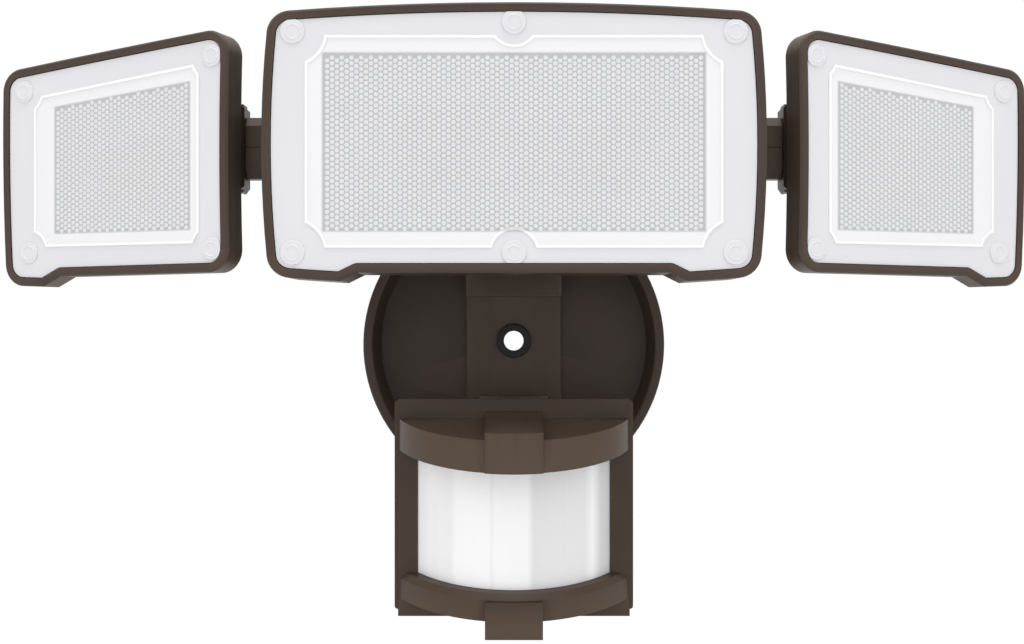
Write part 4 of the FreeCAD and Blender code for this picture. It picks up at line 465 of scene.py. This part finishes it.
def cell_centers(x0, x1, z0, top_at):
    """Centres of the cells that fit in an area with a sloped top."""
    column_pitch, row_pitch = 1.5 * CELL_SIDE, math.sqrt(3) * CELL_SIDE
    columns = int((x1 - x0 - 2 * CELL_SIDE) / column_pitch) + 1
    margin = (x1 - x0 - (columns - 1) * column_pitch) / 2
    centers = []
    for column in range(columns):
        x = x0 + margin + column * column_pitch
        z = z0 + row_pitch * (0.5 if column % 2 == 0 else 1.0)
        while z + row_pitch / 2 <= top_at(x):
            centers.append((x, z))
            z += row_pitch
    return centers


def cell_mesh(centers, place):
    """Low six-sided buttons with sloped sides, one at each centre."""
    points, faces = [], []
    base = CELL_SIDE - CELL_GAP / math.sqrt(3)
    rings = ((base, CELL_SINK), (base - CELL_SLOPE, -CELL_HEIGHT))
    for x, z in centers:
        first = len(points)
        for radius, depth in rings:
            for step in range(6):
                angle = math.radians(60 * step)
                points.append(place(x + radius * math.cos(angle), depth, z + radius * math.sin(angle)))
        for step in range(6):
            following = (step + 1) % 6
            faces.append((first + step, first + following, first + 6 + following, first + 6 + step))
        faces.append(tuple(first + 6 + step for step in range(6)))
    return points, faces


def add_cells():
    """The raised cells in the middle of each lamp lens."""
    material = finish_of("lens_cells", CELL_WHITE, 0.3, 1400.0, vary=0.01, alpha=CELL_ALPHA)
    centers = cell_centers(-CENTER_CELLS_HALF_WIDTH, CENTER_CELLS_HALF_WIDTH, CENTER_CELLS_BOTTOM,
                           lambda x: CENTER_CELLS_TOP)
    new_piece("center_lens_cells", *cell_mesh(centers, center_point), material, "center_head", "lamp_lens")

    def side_top(x):
        share = (x - SIDE_CELLS_INNER) / (SIDE_CELLS_OUTER - SIDE_CELLS_INNER)
        return SIDE_CELLS_TOP_INNER + share * (SIDE_CELLS_TOP_OUTER - SIDE_CELLS_TOP_INNER)

    centers = cell_centers(SIDE_CELLS_INNER, SIDE_CELLS_OUTER, SIDE_CELLS_BOTTOM, side_top)
    for side, sign in (("left", -1), ("right", 1)):
        points, faces = cell_mesh(centers, lambda x, depth, z: side_point(x, depth, z, sign))
        if sign < 0:
            faces = [face[::-1] for face in faces]
        new_piece(side + "_lens_cells", points, faces, material, side + "_head", "lamp_lens")


def ring_mesh(place, x, z):
    """Half-sunk ring round a screw boss."""
    points, faces = [], []
    around, section = 40, 8
    for step in range(around):
        angle = 2 * math.pi * step / around
        for turn in range(section):
            lean = 2 * math.pi * turn / section
            radius = BOSS_RING_RADIUS + BOSS_RING_WIRE * math.cos(lean)
            depth = -LENS_BOSS_PROUD + BOSS_RING_WIRE * math.sin(lean)
            points.append(place(x + radius * math.cos(angle), depth, z + radius * math.sin(angle)))
    for step in range(around):
        for turn in range(section):
            a, b = step * section + turn, step * section + (turn + 1) % section
            c, d = (a + section) % (around * section), (b + section) % (around * section)
            faces.append((a, b, d, c))
    return points, faces


def join_meshes(meshes):
    """Points and faces of several meshes as one mesh."""
    points, faces = [], []
    for some_points, some_faces in meshes:
        first = len(points)
        points += some_points
        faces += [tuple(index + first for index in face) for face in some_faces]
    return points, faces


def smooth(piece):
    for polygon in piece.data.polygons:
        polygon.use_smooth = True


def add_boss_rings(finishes):
    """A ring round each screw boss of the lamp lenses, one piece on each head."""
    material = finishes["lamp_lens"]
    meshes = [ring_mesh(center_point, x * MM, z * MM) for x, z in CENTER_BOSSES]
    smooth(new_piece("center_boss_rings", *join_meshes(meshes), material, "center_head", "lamp_lens"))
    for side, sign in (("left", -1), ("right", 1)):
        meshes = [ring_mesh(lambda u, depth, w: side_point(u, depth, w, sign), x * MM, z * MM)
                  for x, z in SIDE_BOSSES]
        smooth(new_piece(side + "_boss_rings", *join_meshes(meshes), material, side + "_head", "lamp_lens"))


def add_sensor_lens(finishes):
    """Bowed sheet of narrow upright facets, inside the space of its plain solid."""
    low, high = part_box("sensor_lens")
    half = high.x
    chord_y = high.y - LENS_SIDE_DEPTH
    sagitta = chord_y - low.y
    radius = (half * half + sagitta * sagitta) / (2 * sagitta)
    center_y = low.y + radius
    limit = math.asin(half / radius)

    def outline(shrink):
        row = [(-half + shrink, high.y)]
        for step in range(FACETS + 1):
            angle = -limit + 2 * limit * step / FACETS
            r = radius - shrink
            row.append((r * math.sin(angle), center_y - r * math.cos(angle)))
        return row + [(half - shrink, high.y)]

    rings = []
    for shrink, corner in ((0, low), (0, high), (FACET_THICKNESS, high), (FACET_THICKNESS, low)):
        rings.append([Vector((x, y, corner.z + SENSOR_SLOPE * (y - corner.y))) for x, y in outline(shrink)])
    count = len(rings[0])
    points = [point for ring in rings for point in ring]
    faces = []
    for index in range(4):
        a, b = index * count, (index + 1) % 4 * count
        for step in range(count - 1):
            faces.append((a + step, a + step + 1, b + step + 1, b + step))
    faces.append(tuple(index * count for index in range(4)))
    faces.append(tuple(index * count + count - 1 for index in reversed(range(4))))
    piece = new_piece("sensor_lens_facets", points, faces, finishes["sensor_lens"], "sensor", "sensor_lens")
    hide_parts("sensor_lens")


# ---------------------------------------------------------------- stage
def add_camera():
    data = bpy.data.cameras.new("camera")
    data.lens = FOCAL_PIXELS * CAMERA_SENSOR_MM / IMAGE_WIDTH
    data.sensor_width = CAMERA_SENSOR_MM
    camera = bpy.data.objects.new("camera", data)
    camera.location = CAMERA_PLACE
    camera.rotation_euler = (math.pi / 2, 0, 0)
    bpy.context.scene.collection.objects.link(camera)
    bpy.context.scene.camera = camera


def add_light(name, place, target, size, power):
    data = bpy.data.lights.new(name, "AREA")
    data.shape, data.size, data.energy = "DISK", size, power
    light = bpy.data.objects.new(name, data)
    light.location = place
    light.rotation_euler = (Vector(target) - Vector(place)).to_track_quat("-Z", "Y").to_euler()
    bpy.context.scene.collection.objects.link(light)


def white_to_the_camera(tree):
    """1 where the camera, a gloss or a clear surface looks, and 0 for the light itself."""
    path = tree.nodes.new("ShaderNodeLightPath")
    seen = path.outputs["Is Camera Ray"]
    for other in ("Is Glossy Ray", "Is Transmission Ray"):
        seen = maths(tree, "MAXIMUM", seen, path.outputs[other])
    return seen


def floor_finish():
    """Pale floor that reads as white, with only the object's shadow left on it near the object."""
    material, tree, main = shader("floor")
    main.inputs["Base Color"].default_value = (FLOOR_TONE, FLOOR_TONE, FLOOR_TONE, 1)
    main.inputs["Roughness"].default_value = FLOOR_ROUGHNESS
    place = tree.nodes.new("ShaderNodeTexCoord")
    mapping = tree.nodes.new("ShaderNodeMapping")
    mapping.vector_type = "TEXTURE"
    mapping.inputs["Scale"].default_value = (SHADOW_REACH, SHADOW_REACH, SHADOW_REACH)
    tree.links.new(place.outputs["Object"], mapping.inputs["Vector"])
    near = tree.nodes.new("ShaderNodeTexGradient")
    near.gradient_type = "SPHERICAL"
    tree.links.new(mapping.outputs["Vector"], near.inputs["Vector"])
    share = maths(tree, "SUBTRACT", 1.0, maths(tree, "MULTIPLY", near.outputs["Fac"], SHADOW_SHARE))
    white = tree.nodes.new("ShaderNodeEmission")
    mix = tree.nodes.new("ShaderNodeMixShader")
    tree.links.new(maths(tree, "MULTIPLY", white_to_the_camera(tree), share), mix.inputs["Fac"])
    tree.links.new(main.outputs["BSDF"], mix.inputs[1])
    tree.links.new(white.outputs["Emission"], mix.inputs[2])
    tree.links.new(mix.outputs["Shader"], tree.nodes["Material Output"].inputs["Surface"])
    return material


def add_floor():
    size, z = FLOOR_SIZE, cad_box[0].z - FLOOR_DROP
    mesh = bpy.data.meshes.new("floor")
    corners = [(-size, -size, z), (size, -size, z), (size, size, z), (-size, size, z)]
    mesh.from_pydata(corners, [], [(0, 1, 2, 3)])
    floor = bpy.data.objects.new("floor", mesh)
    bpy.context.scene.collection.objects.link(floor)
    mesh.materials.append(floor_finish())


def add_world():
    world = bpy.data.worlds.new("studio")
    bpy.context.scene.world = world
    world.use_nodes = True
    tree = world.node_tree
    lighting = tree.nodes["Background"]
    lighting.inputs["Color"].default_value = (1, 1, 1, 1)
    lighting.inputs["Strength"].default_value = WORLD_LIGHT
    white = tree.nodes.new("ShaderNodeBackground")
    white.inputs["Color"].default_value = (1, 1, 1, 1)
    mix = tree.nodes.new("ShaderNodeMixShader")
    tree.links.new(white_to_the_camera(tree), mix.inputs["Fac"])
    tree.links.new(lighting.outputs["Background"], mix.inputs[1])
    tree.links.new(white.outputs["Background"], mix.inputs[2])
    tree.links.new(mix.outputs["Shader"], tree.nodes["World Output"].inputs["Surface"])


def add_stage():
    add_floor()
    add_world()
    for name, place, size, power in LAMPS:
        add_light(name, place, LAMP_TARGET, size, power)
    bpy.context.scene.view_settings.view_transform = "Standard"


finishes = make_finishes()
finishes.update(make_lens_finishes())
paint_cad_nodes(finishes)
add_cells()
add_boss_rings(finishes)
add_sensor_lens(finishes)
add_camera()
add_stage()
